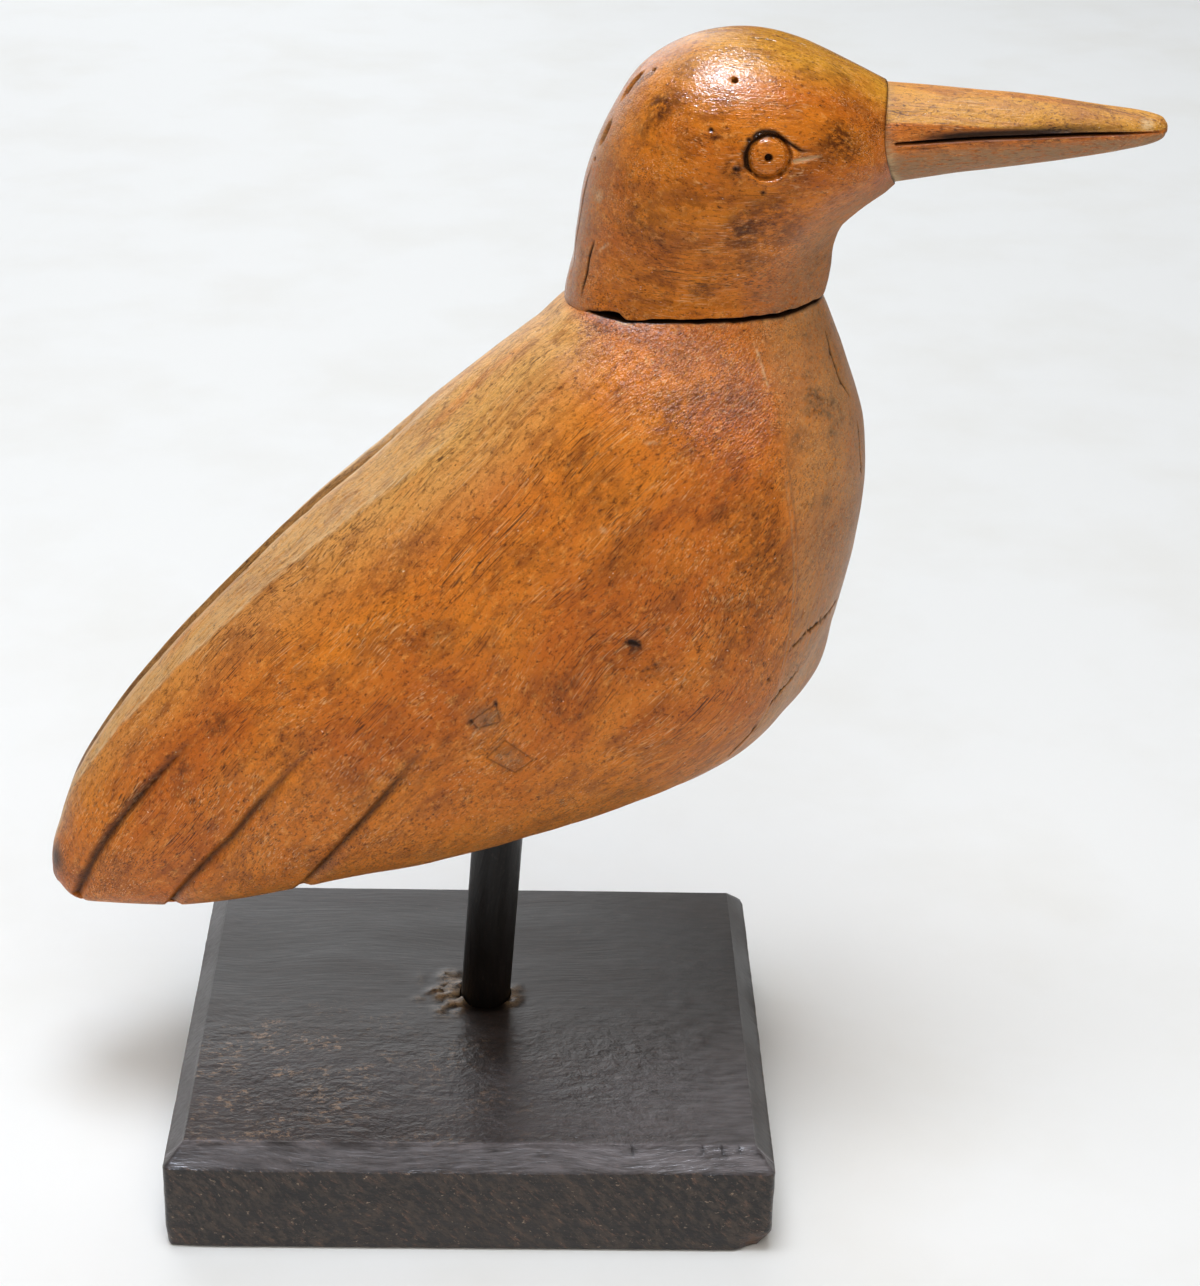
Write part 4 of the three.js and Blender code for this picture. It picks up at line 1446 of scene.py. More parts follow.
def close_ends(rings: Array, s: Array, around: Array) -> tuple[Array, Array, Array]:
    """Adds rings that shrink towards the middle of both ends.

    Args:
        rings: Points, by ring.
        s: Place of each ring.
        around: Angle of each point.

    Returns:
        The same three with the added rings.
    """
    shares = (0.97, 0.85, 0.55, 0.25)
    ends = []
    for ring in (rings[0], rings[-1]):
        middle = ring.mean(axis=0)
        ends.append([middle + (ring - middle) * share for share in shares])
    count = len(shares)
    rings = np.concatenate([ends[0][::-1], rings, ends[1]])
    s = np.concatenate([np.full(count, s[0]), s, np.full(count, s[-1])])
    around = np.concatenate([np.repeat(around[:1], count, 0), around, np.repeat(around[-1:], count, 0)])
    return rings, s, around


@dataclass
class BirdHead:
    """Head and neck with the long beak, carved from a second block.

    Attributes:
        slices: The head's plain form.
        beak: The beak's plain form.
        eye_place: The eye's x and z.
        eyelid: Places along the dark line over the eye, x and z.
        tear: Places along the pale line at the eye's corner, a painted highlight on the lit lower wall of its cut, x
            and z.
        mouth: Places along the mouth, x and z.
        bow: How far the face's front edge curves back on both sides.
        crease: Lower edge of the upper facet of the beak: rows of slice and degrees.
        nape_cracks: Drying cracks in the nape: rows of slice and degrees.
        gouges: Old worm gouges: rows of slice and degrees for both ends, half width, depth.
        pits: Small pits: slice, degrees, radius, depth.
        stains: Dark spots on the near side: slice, degrees, radius, strength.
        scratches: Thin bare scratches on the near side: rows of slice and degrees.
        swells: Gentle swells and hollows of the head: slice, degrees, radius, height.
        beak_swells: The same for the beak.
        finish: The wood.
        columns: Number of points round the head.
    """

    slices: Slices = field(default_factory=lambda: Slices((
        (16.2, 172.4, 61.3, 174.8, 13.4, 0.5, 2.3, 2.3),
        (16.4, 178.0, 61.3, 176.8, 13.8, 0.5, 2.3, 2.3),
        (17.0, 186.0, 61.3, 179.5, 15.0, 0.5, 2.2, 2.2),
        (18.5, 196.0, 61.6, 182.8, 16.8, 0.5, 2.1, 2.1),
        (21.8, 206.0, 63.0, 186.0, 18.2, 0.5, 2.1, 2.1),
        (27.2, 214.6, 65.0, 188.4, 18.8, 0.5, 2.1, 2.1),
        (35.6, 219.6, 67.2, 190.4, 18.5, 0.5, 2.1, 2.1),
        (45.5, 221.1, 69.0, 191.8, 17.2, 0.5, 2.1, 2.1),
        (54.8, 219.5, 70.7, 193.0, 15.0, 0.5, 2.1, 2.1),
        (62.8, 216.3, 72.0, 194.0, 12.5, 0.5, 2.1, 2.1),
        (70.4, 212.8, 73.0, 194.9, 10.0, 0.5, 2.1, 2.1),
    )))
    beak: Slices = field(default_factory=lambda: Slices((
        (70.0, 212.4, 72.8, 195.2, 8.8, 0.5, 2.1, 2.2),
        (82.0, 211.7, 84.0, 197.2, 7.4, 0.5, 2.1, 2.2),
        (94.0, 210.8, 95.0, 199.0, 5.9, 0.5, 2.1, 2.2),
        (106.0, 209.5, 106.5, 200.6, 4.4, 0.5, 2.1, 2.2),
        (115.0, 208.5, 115.5, 202.0, 3.2, 0.5, 2.1, 2.2),
        (119.0, 207.6, 119.3, 203.2, 2.2, 0.5, 2.1, 2.2),
        (120.3, 206.4, 120.4, 204.6, 1.0, 0.5, 2.0, 2.0),
    )))
    eye_place: Row = (48.8, 204.2)
    eyelid: tuple[Row, ...] = (
        (45.8, 207.3), (46.7, 208.2), (48.0, 208.6), (49.7, 208.4), (51.4, 207.3), (52.9, 206.2), (54.5, 205.2), (56.4, 205.1),
    )
    tear: tuple[Row, ...] = ((53.0, 203.6), (55.4, 203.9), (57.8, 204.3))
    mouth: tuple[Row, ...] = ((70.2, 203.9), (75.8, 204.2), (82.8, 204.6), (89.9, 204.9), (104.2, 205.2), (118.6, 205.3))
    bow: float = 2.0
    crease: tuple[Row, ...] = ((0.05, 65), (0.41, 66), (1.0, 69.5), (1.6, 75), (2.06, 79), (2.6, 84))
    nape_cracks: tuple[tuple[Row, ...], ...] = (
        ((3.17, 11.0), (2.54, 9.5), (2.07, 9.5), (1.62, 9.0), (1.15, 9.5), (0.7, 9.0)),
        ((2.01, 32.6), (1.6, 30.6), (1.18, 30.3), (0.8, 29.6), (0.43, 29.0)),
        ((7.3, 4.0), (7.8, 4.6), (8.2, 7.0)),
        ((7.0, 12.0), (7.5, 13.5)),
    )
    gouges: tuple[tuple[Row, Row, float, float], ...] = (
        ((5.02, 9.0), (4.38, 9.5), 1.1, 1.4),
        ((4.02, 11.9), (3.55, 12.5), 1.0, 1.3),
    )
    pits: tuple[Row, ...] = (
        (6.3, 46.3, 0.6, 1.2), (5.2, 15.8, 0.6, 0.5), (3.3, 12.5, 0.5, 0.5), (5.61, 76.9, 0.5, 0.3),
        (4.83, 83.8, 0.7, 0.3), (4.7, 100.0, 0.5, 0.3), (5.2, 64.0, 0.5, 0.3),
    )
    stains: tuple[Row, ...] = (
        (7.76, 88.3, 3.6, 0.8), (7.13, 96.5, 3.0, 0.5), (3.55, 103.1, 4.0, 0.7), (4.25, 107.8, 3.5, 0.5),
        (3.25, 100.5, 3.0, 0.5), (4.13, 119.3, 4.0, 0.45), (4.8, 39.4, 2.8, 0.75), (5.13, 41.2, 2.5, 0.4),
        (5.71, 28.5, 3.0, 0.4), (5.15, 66.5, 0.9, 1.0), (4.82, 82.4, 1.9, 1.0), (2.71, 58.5, 5.0, 0.4),
        (2.39, 65.4, 5.0, 0.35), (1.69, 72.9, 4.0, 0.4), (1.3, 88.9, 2.5, 0.6), (2.48, 109.4, 3.0, 0.45),
        (7.82, 41.1, 3.0, 0.35), (8.72, 33.5, 3.0, 0.35), (5.1, 17.1, 0.9, 1.0), (4.95, 14.0, 2.2, 0.55),
        (4.39, 40.8, 2.0, 0.45), (4.6, 60.6, 2.0, 0.35), (3.31, 39.7, 4.0, 0.35), (3.65, 74.8, 4.0, 0.3),
        (2.69, 85.6, 4.0, 0.35), (2.34, 95.9, 3.5, 0.35), (5.25, 107.5, 3.0, 0.3), (9.3, 62.0, 2.5, 0.3),
    )
    scratches: tuple[tuple[Row, ...], ...] = (((1.79, 36.6), (1.92, 39.0), (2.05, 41.5)),)
    swells: tuple[Row, ...] = (
        (0.0, -18.0, 9.0, 1.2), (0.0, 22.0, 8.0, 0.8), (2.3, 178.0, 9.0, 1.4), (4.6, -12.0, 20.0, -0.4),
    )
    beak_swells: tuple[Row, ...] = ((2.2, 178.0, 16.0, 0.45), (4.6, 178.0, 8.0, -0.2))
    finish: Wood = HEAD_WOOD
    columns: int = 216

    def skin(self) -> Skin:
        """Lays the rings of head and beak.

        Returns:
            The skin. Its places go on from the head's last slice to the beak's.
        """
        turn = np.linspace(0, 2 * math.pi, self.columns, endpoint=False)
        head_s = np.concatenate([even_places(0, 0.12, 0.04)[:-1], even_places(0.12, self.slices.last, 0.08)])
        beak_s = np.concatenate([even_places(0, 5, 0.05)[:-1], even_places(5, self.beak.last, 0.07)])
        rings = np.concatenate([
            self.slices.point(head_s[:, None], turn[None, :]),
            self.beak.point(beak_s[:, None], turn[None, :]),
        ])
        bow = self.bow * np.sin(turn) ** 2
        back = np.concatenate([smooth_step(8.2, 10.0, head_s), smooth_step(1.0, 0.0, beak_s)])
        rings[..., 0] -= back[:, None] * bow[None, :]
        s = np.concatenate([head_s, beak_s + self.slices.last + 0.01])
        from_back = np.minimum(turn, 2 * math.pi - turn)
        around = np.repeat(from_back[None, :], len(s), 0)
        rings, s, around = close_ends(rings, s, around)
        return Skin("carved_head", rings, s, around)

    def line(self, slices: Slices, rows: Sequence[Row], side: Side, fineness: int = 4) -> Array:
        """Turns a line in a table into points on the head or the beak.

        Args:
            slices: The head or the beak.
            rows: Rows of slice and degrees.
            side: The side of the bird.
            fineness: Points per row.

        Returns:
            The points.
        """
        line = along_rows(rows, np.linspace(0, len(rows) - 1, (len(rows) - 1) * fineness + 1))
        return slices.point(line[:, 0], side.value * np.radians(line[:, 1]))

    def level(self, slices: Slices, places: Sequence[Row], side: Side, step: float = 1.5) -> Array:
        """Points along a line that is given as seen from the side.

        Args:
            slices: The head or the beak.
            places: x and z of points on the line.
            side: The side of the bird.
            step: Distance between the points.

        Returns:
            The points.
        """
        table = np.array(places)
        xs = even_places(table[0, 0], table[-1, 0], step)
        zs = np.interp(xs, table[:, 0], table[:, 1])
        found = [slices.find(x, z) for x, z in zip(xs, zs)]
        return np.array([slices.point(s, side.value * a) for s, a in found])

    def marks(self) -> list[Mark]:
        """Lists the eyes, mouth, beak facets, gouges, cracks and pits."""
        found: list[Mark] = []
        s, a = self.slices.find(*self.eye_place)
        for side in Side:
            eye = CarvedEye(self.slices.point(s, side.value * a))
            eyelid = self.level(self.slices, self.eyelid, side, 1.0)
            tear = self.level(self.slices, self.tear, side, 1.0)
            mouth = self.level(self.beak, self.mouth, side)
            crease = self.line(self.beak, self.crease, side)
            hollow = mouth[len(mouth) // 12 : len(mouth) * 9 // 10] + (0.0, 0.0, 0.75)
            lower_lip = mouth[: len(mouth) // 4] - (0.0, 0.0, 1.1)
            found.append(eye)
            # Painted shadow: the line over the eye is darkened as the shadow under the upper lid.
            found.append(Cut(eyelid, 0.5, 0.55, 0.1, 0.3, darkening=0.9, darkening_width=0.7))
            found.append(Cut(tear, 0.4, 0.5, 0.001, 0.6, darkening=0.0, raised=0.06))
            # Painted shade: the mouth slit is darkened as the shade in its depth.
            found.append(Cut(mouth, 1.6, 0.42, 0.01, 0.3, darkening=1.0, darkening_width=0.9))
            found.append(Cut(hollow, 0.35, 1.15, 0.25, 0.45, darkening=0.95, darkening_width=0.85))
            found.append(Cut(lower_lip, 0.25, 0.35, 0.001, 0.5, darkening=0.4))
            found.append(Cut(crease, -0.35, 1.7, 0.001, 0.6, darkening=0.0))
        for rows in self.nape_cracks:
            found.append(Cut(self.line(self.slices, rows, Side.NEAR), 0.45, 0.3, 0.2, 0.3, darkening=1.0, darkening_width=0.9))
        for start, end, half, depth in self.gouges:
            gouge = self.line(self.slices, (start, end), Side.NEAR)
            found.append(Cut(gouge, depth, half, 0.3, 0.3, darkening=0.8, darkening_width=0.85))
        for s, degrees, radius, depth in self.pits:
            found.append(Dent(self.slices.point(s, math.radians(degrees)), radius, depth, 0.9, 1.5))
        for slices, swells in ((self.slices, self.swells), (self.beak, self.beak_swells)):
            for s, degrees, radius, height in swells:
                found.append(Dent(slices.point(s, math.radians(degrees)), radius, -height, 0.0))
        return found

    def rim_drop(self, degrees: Array) -> Array:
        """How far the lower rim stands above its plain height on the near side."""
        places = (0, 31, 35, 50, 53, 56, 62, 68, 81, 98, 115, 127, 139, 148, 166, 180)
        heights = (-0.45, -0.4, 0.3, 0.45, 0.3, -0.9, -0.85, -0.45, -0.5, -0.5, -0.45, -0.4, -0.25, -0.15, 0.0, 0.0)
        return np.interp(degrees, places, heights)

    def build(self) -> bpy.types.Object:
        """Builds the piece.

        Returns:
            The piece.
        """
        mesh = self.skin().mesh()
        marks = self.marks()
        refine(mesh, marks)
        points = points_of(mesh)
        along = get_values(mesh, "along")
        degrees = np.degrees(get_values(mesh, "around"))
        normals = normals_of(mesh)
        on_head = smooth_step(10.0, 9.0, along)
        uneven = lattice_noise(points, 10.0, 13) * (0.04 + 0.11 * on_head) + 0.05 * lattice_noise(points, 4.0, 14)
        near = points[:, 1] < self.slices.middle_y
        neck = smooth_step(0.9, 0.0, along)
        lift = np.where(near, self.rim_drop(degrees), 0.12 * lattice_noise(points, 9.0, 16))
        frayed = 0.16 * lattice_noise(points, 1.6, 17) * smooth_step(0.3, 0.0, along)
        extra = normals * uneven[:, None]
        extra[:, 2] += neck * lift + frayed
        carve(mesh, marks, extra)
        self.dress(mesh, marks, points, along, degrees, near)
        return make_piece(mesh, "bird_head", self.finish.build())

    def dress(self, mesh: bpy.types.Mesh, marks: list[Mark], points: Array, along: Array, degrees: Array,
              near: Array) -> None:
        """Puts the values on the mesh that its finish reads.

        Args:
            mesh: The mesh.
            marks: Its marks.
            points: Its points before they were carved.
            along: Place of each point along the slices.
            degrees: Angle of each point from the back.
            near: Whether each point is on the near side; not used.
        """
        beak = along > self.slices.last + 0.005
        place = along - self.slices.last - 0.01
        edge = np.interp(place, [row[0] for row in self.crease], [row[1] for row in self.crease])
        top = smooth_step(66.0, 26.0, degrees) * smooth_step(4.0, 7.0, along)
        golden = np.where(beak, smooth_step(edge + 1.5, edge - 2.5, degrees), top)
        root = np.where(beak, smooth_step(0.2, 0.03, place), 0.0)
        low_root = root * smooth_step(75.0, 105.0, degrees)
        step = np.exp(-(((along - self.slices.last) / np.where(beak, 0.02, 0.05)) ** 2))
        rim = smooth_step(0.05, 0.0, along)
        # Under the throat and the beak the wood is painted grey-tan: partly wear, partly a painted reflection of the
        # floor.
        throat = smooth_step(118.0, 150.0, degrees) + 0.8 * smooth_step(100.0, 135.0, degrees) * smooth_step(3.4, 1.0, along)
        low = np.where(beak, smooth_step(92.0, 112.0, degrees), np.clip(throat, 0.0, 1.0))
        low = np.maximum(low, np.where(beak, 0.5 * root, 0.0))
        # Painted reflection: the nape's edge is painted grey-tan where the head turns away from view.
        nape = smooth_step(46.0, 18.0, degrees) * smooth_step(5.5, 3.5, along)
        dirt_and_shade = np.maximum.reduce([dirt_and_shade_of(points, marks), 0.8 * step, 0.85 * rim])
        middles = []
        for s, angle, radius, strength in self.stains:
            middles.append((*self.slices.point(s, math.radians(angle)), radius, strength))
        pale = (*self.slices.point(2.81, math.radians(28.7)), 1.1, 0.6)
        worn_tip = (*self.beak.point(4.2, math.radians(60.0)), 1.3, 0.8)
        scratches = [Cut(self.line(self.slices, rows, Side.NEAR), 0.1, 0.25, 0.1) for rows in self.scratches]
        # Painted highlight: the tear line is painted pale on the lit lower wall of its cut.
        tears = [Cut(self.level(self.slices, self.tear, side, 1.0), 0.1, 0.4, 0.001, 0.6) for side in Side]
        bare_and_highlit = np.maximum(dirt_and_shade_of(points, tears), 0.7 * dirt_and_shade_of(points, scratches))
        set_values(mesh, "golden", golden)
        set_values(mesh, "dirt_and_shade", dirt_and_shade)
        set_values(mesh, "wear_and_highlight", np.clip(0.75 * low_root + bare_and_highlit + spots(points, [pale, worn_tip], 33), 0.0, 1.0))
        set_values(mesh, "weathering_and_sheen", np.clip(np.where(beak, 1.0, 0.65) * low + 0.65 * nape, 0.0, 1.0))
        set_values(mesh, "stains_and_shade", spots(points, middles, 32))
        set_values(mesh, "dull", np.where(beak, 0.9, np.clip(throat, 0.0, 1.0)))
        set_values(mesh, "coarse_and_glints", 0.12 + 0.5 * low + 0.25 * smooth_step(1.2, 0.0, along))


# The stand


@dataclass
class StandRod:
    """Turned dowel that holds the bird up.

    Attributes:
        place: Where it stands.
        finish: Its stained wood.
        columns: Number of points round it.
    """

    place: RodPlace
    finish: Wood = ROD_WOOD
    columns: int = 96

    def build(self) -> bpy.types.Object:
        """Builds the piece with small flats and ripples left by turning and sanding.

        Returns:
            The piece.
        """
        turn = np.linspace(0, 2 * math.pi, self.columns, endpoint=False)
        length = (self.place.top_z - self.place.bottom_z) / math.cos(math.radians(self.place.lean))
        chamfer = 0.5
        heights = np.concatenate([[0.0], even_places(chamfer, length - chamfer, 0.8), [length]])
        radii = np.full(len(heights), self.place.radius)
        radii[[0, -1]] -= chamfer
        around = np.stack([np.cos(turn), np.sin(turn), np.zeros_like(turn)], axis=-1)
        local = radii[:, None, None] * around + heights[:, None, None] * np.array([0.0, 0.0, 1.0])
        noise = lattice_noise(local.reshape(-1, 3), (2.5, 2.5, 14.0), 21).reshape(local.shape[:2])
        local[..., :2] *= 1.0 - 0.014 * np.abs(noise)[..., None]
        tilt = np.array(Vector((0, 0, 1)).rotation_difference(self.place.axis).to_matrix())
        rings = local @ tilt.T + np.array(self.place.at(self.place.bottom_z))
        rings, s, turns = close_ends(rings, heights, np.repeat(turn[None, :], len(heights), 0))
        mesh = Skin("turned_rod", rings, s, turns).mesh()
        points = points_of(mesh)
        # Painted shade: the rod darker over its last 6 mm above the block.
        low = smooth_step(6.0, 0.0, points[:, 2] - self.place.block_top)
        set_values(mesh, "dirt_and_shade", 0.7 * low)
        return make_piece(mesh, "stand_rod", self.finish.build())


@dataclass
class StandBlock:
    """Sawn block with chamfered top edges that the rod stands in.

    Attributes:
        place: Where the rod stands.
        width: Size along X.
        depth: Size along Y.
        height: Size along Z.
        corner: Radius of the upright corners.
        chamfer_width: Width of the chamfer, seen from above.
        chamfer_height: Height of the chamfer.
        foot: Size of the small chamfer at the foot.
        nicks: x of small cuts across the front chamfer's upper edge, and their lengths.
        finish: Its stained wood.
    """

    place: RodPlace
    width: float = 115.0
    depth: float = 98.0
    height: float = 22.0
    corner: float = 1.4
    chamfer_width: float = 3.8
    chamfer_height: float = 4.1
    foot: float = 0.6
    nicks: tuple[Row, ...] = ((30.3, 1.6), (43.6, 1.1), (47.3, 1.4), (50.6, 1.2))
    finish: Wood = BLOCK_WOOD

    def lines(self, half: float, step: float, fine_step: float) -> Array:
        """Places of the mesh's lines across the top, with lines at the chamfers' edges.

        Args:
            half: Half the block's size in this direction.
            step: Distance between lines.
            fine_step: Distance between lines on the chamfers.

        Returns:
            The places.
        """
        inner = half - self.chamfer_width
        edge = even_places(inner, half, fine_step)[1:]
        return np.concatenate([-edge[::-1], even_places(-inner, inner, step), edge])

    def build(self) -> bpy.types.Object:
        """Builds the piece.

        Returns:
            The piece.
        """
        mesh = self.plain_mesh()
        bore_hole(mesh, self.place.at(self.height), self.place.axis, self.place.radius + self.place.clearance, 12.0, 1.0)
        marks = self.marks()
        foot = Dent(np.array(self.place.at(self.height)), 10.0, 0.0)
        refine(mesh, marks)
        refine(mesh, [foot], 1)
        points = points_of(mesh)
        normals = normals_of(mesh)
        carve(mesh, marks, self.relief(points, normals))
        self.dress(mesh, points, marks)
        return make_piece(mesh, "stand_base", self.finish.build(), 34.0)

    def plain_mesh(self) -> bpy.types.Mesh:
        """Makes the block as one closed mesh: a grid on top and rings down the sides.

        Returns:
            The mesh.
        """
        xs = self.lines(self.width / 2, 1.0, 0.55)
        ys = self.lines(self.depth / 2, 0.55, 0.55)
        grid_x, grid_y = np.meshgrid(xs, ys, indexing="ij")
        inset = np.minimum(self.width / 2 - np.abs(grid_x), self.depth / 2 - np.abs(grid_y))
        fall = self.chamfer_height * np.clip(1.0 - inset / self.chamfer_width, 0.0, 1.0)
        top = np.stack([grid_x, grid_y, self.height - fall], axis=-1)
        index = np.arange(grid_x.size).reshape(grid_x.shape)
        faces = np.stack([index[:-1, :-1], index[1:, :-1], index[1:, 1:], index[:-1, 1:]], axis=-1)
        faces = faces.reshape(-1, 4).tolist()
        loop = np.concatenate([index[:-1, 0], index[-1, :-1], index[:0:-1, -1], index[0, :0:-1]])
        points = [top.reshape(-1, 3)]
        outline = points[0][loop]
        shoulder = self.height - self.chamfer_height
        levels = np.concatenate([even_places(shoulder, self.foot, 0.8)[1:], [0.0]])
        rings = [loop]
        for k, z in enumerate(levels):
            ring = outline.copy()
            ring[:, 2] = z
            if z == 0.0:
                ring[:, :2] *= 1.0 - 2 * self.foot / np.array([self.width, self.depth])
            points.append(ring)
            rings.append(grid_x.size + k * len(loop) + np.arange(len(loop)))
        for upper, lower in zip(rings, rings[1:]):
            ahead = np.roll(np.arange(len(loop)), -1)
            faces += np.stack([upper, lower, lower[ahead], upper[ahead]], axis=-1).tolist()
        points.append(np.zeros((1, 3)))
        middle = grid_x.size + len(levels) * len(loop)
        faces += [[int(a), middle, int(b)] for a, b in zip(rings[-1], np.roll(rings[-1], -1))]
        mesh = bpy.data.meshes.new("sawn_block")
        mesh.from_pydata((self.round_corners(np.vstack(points)) * MM).tolist(), [], faces)
        turn_outwards(mesh)
        return mesh

    def round_corners(self, points: Array) -> Array:
        """Pulls the points at the four upright corners onto their arcs.

        Args:
            points: All points of the block.

        Returns:
            The points with round corners.
        """
        half = np.array([self.width / 2, self.depth / 2]) - self.corner
        flat = points[:, :2]
        beyond = np.abs(flat) - half
        length = np.linalg.norm(np.clip(beyond, 0, None), axis=1)
        at_corner = (beyond > 0).all(axis=1) & (length > self.corner)
        scale = np.where(at_corner, self.corner / np.maximum(length, 1e-9), 1.0)[:, None]
        moved = np.sign(flat) * (half + beyond * scale)
        result = points.copy()
        result[:, :2] = np.where(at_corner[:, None], moved, flat)
        return result

    def marks(self) -> list[Mark]:
        """Lists the nicks in the front chamfer."""
        front = -self.depth / 2 + self.chamfer_width
        fall = self.chamfer_height / self.chamfer_width
        found: list[Mark] = []
        for x, length in self.nicks:
            start = (x, front + 0.3, self.height)
            end = (x + 0.25 * length, front - length, self.height - fall * length)
            found.append(Cut(np.array([start, end]), 0.16, 0.32, 0.1, 0.6, darkening=1.0))
        return found

    def relief(self, points: Array, normals: Array) -> Array:
        """Works out the unevenness that sawing, planing and wear left.

        Args:
            points: The plain points.
            normals: Their outward directions.

        Returns:
            A move for each point, in millimetres.
        """
        x, y, z = points.T
        on_top = smooth_step(0.8, 0.97, normals[:, 2])
        front = smooth_step(12.0, -22.0, y)
        chatter = layered_noise(points * (0.5, 1.0, 1.0), 1.5, 51, 2) * (0.03 + 0.1 * front)
        waves = 0.05 * lattice_noise(points, (26.0, 7.0, 9.0), 52)
        on_side = smooth_step(0.75, 0.95, np.abs(normals[:, :2]).max(axis=1))
        sawn = 0.07 * layered_noise(points, 2.4, 53)
        outward = on_top * (chatter + waves) + on_side * sawn
        edge_gap = np.abs(z - (self.height - self.chamfer_height))
        sideways = smooth_step(2.0, 0.0, edge_gap) * (1.0 - on_top)
        move = normals * outward[:, None]
        move[:, 2] += 0.35 * sideways * lattice_noise(points, (9.0, 9.0, 60.0), 54)
        near_corner = smooth_step(8.0, 0.0, self.width / 2 - np.abs(x)) * smooth_step(6.0, 0.0, self.depth / 2 - np.abs(y))
        low_corner = near_corner * smooth_step(5.0, 0.0, z) * np.where((x > 0) & (y < 0), 2.0, 0.4)
        middle_ward = -np.stack([np.sign(x), np.sign(y), np.zeros_like(z)], axis=1)
        move += middle_ward * low_corner[:, None]
        on_floor = z < 0.01
        move[on_floor, 2] = 0.0
        distance, bearing = self.from_rod(points)
        ragged = self.ragged(points, distance, bearing)
        crumbs = self.crumbs(points, distance, bearing)
        move[:, 2] += np.where(z > self.height - 1.0, ragged * crumbs, 0.0)
        return move

    def crumbs(self, points: Array, distance: Array, bearing: Array) -> Array:
        """Height of the broken wood and glue at the rod's foot, in millimetres; it lies in rings."""
        polar = np.stack([bearing / 24.0, distance / 1.9, np.zeros_like(bearing)], axis=1)
        return 0.45 * lattice_noise(polar, 1.0, 57) + 0.8 * layered_noise(points, 1.3, 55) + 0.42

    def from_rod(self, points: Array) -> tuple[Array, Array]:
        """Distance of points from the rod's middle line and their bearing round it, in degrees."""
        middle = np.array(self.place.at(self.height))
        gap = points - middle
        return np.hypot(gap[:, 0], gap[:, 1]), np.degrees(np.arctan2(gap[:, 1], gap[:, 0]))

    def ragged(self, points: Array, distance: Array, bearing: Array) -> Array:
        """Where broken wood and old glue stand round the rod's foot.

        Args:
            points: The points.
            distance: Their distances from the rod's middle line.
            bearing: Their bearings round it.

        Returns:
            A value from 0 to 1 for each point.
        """
        to_left = np.abs((bearing + 180.0 + 180.0) % 360.0 - 180.0)
        to_right = np.abs(bearing + 8.0)
        waver = 1.0 + 0.25 * lattice_noise(points, 3.0, 56)
        left = smooth_step(66.0, 32.0, to_left) * smooth_step(14.0 * waver, 9.0 * waver, distance)
        right = 0.8 * smooth_step(50.0, 22.0, to_right) * smooth_step(8.2, 6.6, distance)
        return np.maximum(left, right) * (distance > self.place.radius + 0.2)

    def dress(self, mesh: bpy.types.Mesh, points: Array, marks: list[Mark]) -> None:
        """Puts the values on the mesh that its finish reads.

        Args:
            mesh: The mesh.
            points: Its plain points.
            marks: Its marks.
        """
        x, y, z = points.T
        on_top = z > self.height - 0.5
        front_left = smooth_step(30.0, -35.0, x) * smooth_step(8.0, -20.0, y)
        patch = np.exp(-(((x + 33.0) / 9.0) ** 2) - (((y + 12.0) / 10.0) ** 2))
        chamfer = (z > self.height - self.chamfer_height + 0.2) & ~on_top
        worn = np.where(on_top, 0.12 + 0.2 * patch, 0.9)
        worn = np.where(chamfer, 0.2, worn)
        corner_gap = np.hypot(self.width / 2 - np.abs(x), self.depth / 2 - np.abs(y))
        edge = smooth_step(8.0, 2.0, corner_gap) * smooth_step(7.0, 1.0, z) * np.where((x > 0) & (y < 0), 0.9, 0.3)
        distance, bearing = self.from_rod(points)
        ragged = self.ragged(points, distance, bearing) * on_top
        crumbs = self.crumbs(points, distance, bearing)
        filler = ragged * smooth_step(-0.15, 0.35, crumbs)
        hollows = 0.7 * ragged * smooth_step(0.15, -0.25, crumbs)
        # Painted shade: the top darker in a ring round the rod's foot, outside the broken glue.
        dark_ring = smooth_step(8.0, 5.6, distance) * on_top * (1.0 - ragged)
        set_values(mesh, "worn", np.clip(worn, 0.0, 1.0))
        # Painted sheen: the top paler overall and more towards its right front, the front chamfer paler to the right,
        # and a painted highlight along the front chamfer's upper edge, all in the grey-violet layer.
        sheen = 0.1 + 0.3 * smooth_step(0.0, 45.0, x) * smooth_step(10.0, -30.0, y)
        on_front = y < self.chamfer_width - self.depth / 2 + 0.1
        side_scrape = np.where(x > 0, 0.05, 0.4)
        bare_and_highlit = np.where(on_front, 0.62 + 0.5 * smooth_step(0.0, 50.0, x), side_scrape)
        scraped_and_sheen = np.where(on_top, sheen, chamfer * bare_and_highlit)
        upper_edge = np.exp(-(((y - self.chamfer_width + self.depth / 2) / 0.5) ** 2))
        scraped_and_sheen += 0.9 * upper_edge * smooth_step(-0.6, 0.2, lattice_noise(points, 6.0, 58))
        set_values(mesh, "scraped_and_sheen", scraped_and_sheen)
        set_values(mesh, "specked", on_top * np.clip(0.7 * front_left + patch, 0.0, 1.0))
        set_values(mesh, "rippled", on_top * smooth_step(8.0, -24.0, y) * smooth_step(52.0, 30.0, x))
        set_values(mesh, "edge", edge)
        set_values(mesh, "filler", filler)
        set_values(mesh, "dirt_and_shade", np.maximum.reduce([dirt_and_shade_of(points, marks), dark_ring, hollows]))


# The studio


class LampUse(Enum):
    """What a lamp does: it lights the surfaces, shows in their gloss, or both."""

    BOTH = "both"
    FILL = "fill"
    SHINE = "shine"


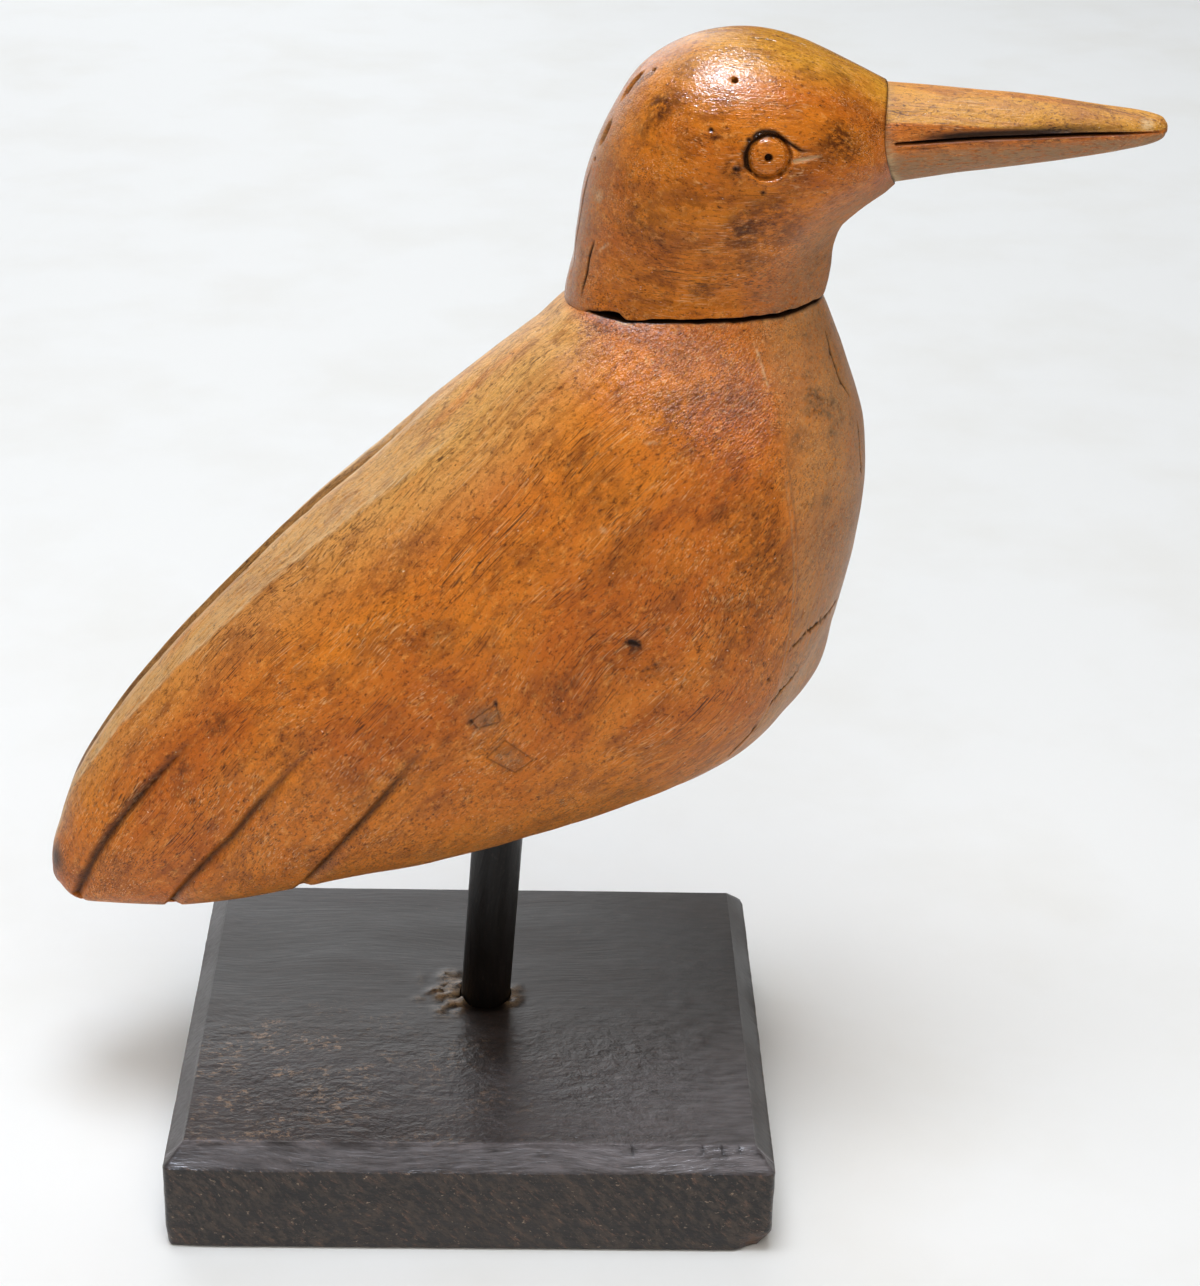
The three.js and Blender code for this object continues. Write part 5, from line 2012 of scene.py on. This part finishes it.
@dataclass(frozen=True)
class Lamp:
    """A flat lamp with soft edges.

    Attributes:
        name: Its name.
        direction: Direction from the object.
        distance: Distance from the object, in metres.
        width: Its width, in metres.
        length: Its length, in metres.
        power: Its power, in watts.
        use: What it does.
        colour: Its colour.
        aim: The point that it shines at, in metres.
    """

    name: str
    direction: Row
    distance: float
    width: float
    length: float
    power: float
    use: LampUse = LampUse.BOTH
    colour: str = "#fafcff"
    aim: Row = (0.02, 0.0, 0.1)


@dataclass
class Studio:
    """Pale floor, soft light from above and the camera at the photograph's place.

    Attributes:
        camera_place: The camera's place, in millimetres.
        pitch: How far it looks down, in degrees.
        yaw: How far it turns towards the beak, in degrees.
        roll: How far it is tipped, in degrees.
        focal_pixels: Its focal length, in pixels of the photograph.
        floor_size: Side of the floor, in metres.
        floor_split: Where the floor ends that shows in reflections, as the photograph's table does.
        sky: Brightness of the soft light from all round.
        lamps: The lamps.
    """

    camera_place: Row = (7.47, -473.64, 342.49)
    pitch: float = 26.62
    yaw: float = 1.89
    roll: float = 1.68
    focal_pixels: float = 2800.0
    floor_size: float = 6.0
    floor_split: float = -0.13
    sky: float = 0.12
    lamps: tuple[Lamp, ...] = (
        Lamp("overhead", (-0.09, -0.12, 1.0), 0.95, 0.42, 0.42, 6.4, LampUse.FILL),
        Lamp("crown_shine", (-0.02, -0.15, 1.0), 0.95, 0.36, 0.46, 5.2, LampUse.SHINE),
        Lamp("crown_core", (-0.17, -0.1, 1.0), 0.95, 0.13, 0.18, 16.0, LampUse.SHINE, "#dfeaff"),
        Lamp("front", (0.05, -0.66, 0.76), 1.6, 1.2, 1.2, 11.9, LampUse.FILL, "#fff6ee"),
        Lamp("back", (-0.35, 0.85, 0.42), 1.6, 1.4, 1.4, 11.6),
        Lamp("far_floor", (0.0, 0.0, 1.0), 0.65, 0.5, 0.5, 1.5, LampUse.FILL, aim=(0.33, 0.82, 0.0)),
    )
    floor_finish: Wood = FLOOR_PAINT

    def build(self) -> None:
        """Builds floor, light and camera."""
        self.floor()
        self.light()
        self.camera()
        bpy.context.scene.view_settings.view_transform = "Standard"

    def floor(self) -> None:
        """Lays a pale floor under the block, in two parts that meet in front of it."""
        half = self.floor_size / 2
        material = self.floor_finish.build()
        for name, near, far, in_reflections in (
            ("floor_front", -half, self.floor_split, False),
            ("floor_back", self.floor_split, half, True),
        ):
            corners = [(-half, near, 0), (half, near, 0), (half, far, 0), (-half, far, 0)]
            mesh = bpy.data.meshes.new(name)
            mesh.from_pydata(corners, [], [(0, 1, 2, 3)])
            mesh.materials.append(material)
            floor = bpy.data.objects.new(name, mesh)
            floor.visible_glossy = in_reflections
            bpy.context.scene.collection.objects.link(floor)

    def light(self) -> None:
        """Sets up the light: an even sky and square lamps with soft edges."""
        world = bpy.data.worlds.new("studio")
        world.use_nodes = True
        world.node_tree.nodes["Background"].inputs["Color"].default_value = linear("#f7e6cf")
        world.node_tree.nodes["Background"].inputs["Strength"].default_value = self.sky
        bpy.context.scene.world = world
        for lamp in self.lamps:
            towards = Vector(lamp.direction).normalized()
            data = bpy.data.lights.new(lamp.name, "AREA")
            data.shape = "RECTANGLE"
            data.size = lamp.width
            data.size_y = lamp.length
            data.energy = lamp.power
            data.color = linear(lamp.colour)[:3]
            light = bpy.data.objects.new(lamp.name, data)
            light.location = Vector(lamp.aim) + towards * lamp.distance
            light.rotation_euler = towards.to_track_quat("Z", "Y").to_euler()
            light.visible_glossy = lamp.use is not LampUse.FILL
            light.visible_diffuse = lamp.use is not LampUse.SHINE
            bpy.context.scene.collection.objects.link(light)

    def camera(self) -> None:
        """Sets up the camera that took the photograph."""
        data = bpy.data.cameras.new("camera")
        data.sensor_fit = "HORIZONTAL"
        data.sensor_width = 36.0
        data.lens = self.focal_pixels * data.sensor_width / PHOTO_WIDTH
        data.clip_start = 0.01
        data.clip_end = 20.0
        camera = bpy.data.objects.new("camera", data)
        turn = Matrix.Rotation(-math.radians(self.yaw), 4, "Z")
        look = Matrix.Rotation(math.radians(90.0 - self.pitch), 4, "X")
        tip = Matrix.Rotation(math.radians(self.roll), 4, "Z")
        camera.matrix_world = Matrix.Translation(Vector(self.camera_place) * MM) @ turn @ look @ tip
        bpy.context.scene.collection.objects.link(camera)
        bpy.context.scene.camera = camera


def main() -> None:
    """Builds every piece in order, then the studio."""
    logging.basicConfig(level=logging.INFO, format="%(message)s")
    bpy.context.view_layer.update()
    rod_place = RodPlace()
    pieces = [
        StandBlock(rod_place).build(),
        StandRod(rod_place).build(),
        BirdBody().build(rod_place),
        BirdHead().build(),
    ]
    for piece in pieces:
        count = sum(len(face.vertices) - 2 for face in piece.data.polygons)
        logging.info("%s: %d triangles", piece.name, count)
    Studio().build()
    bpy.context.view_layer.update()


if __name__ == "__main__":
    main()
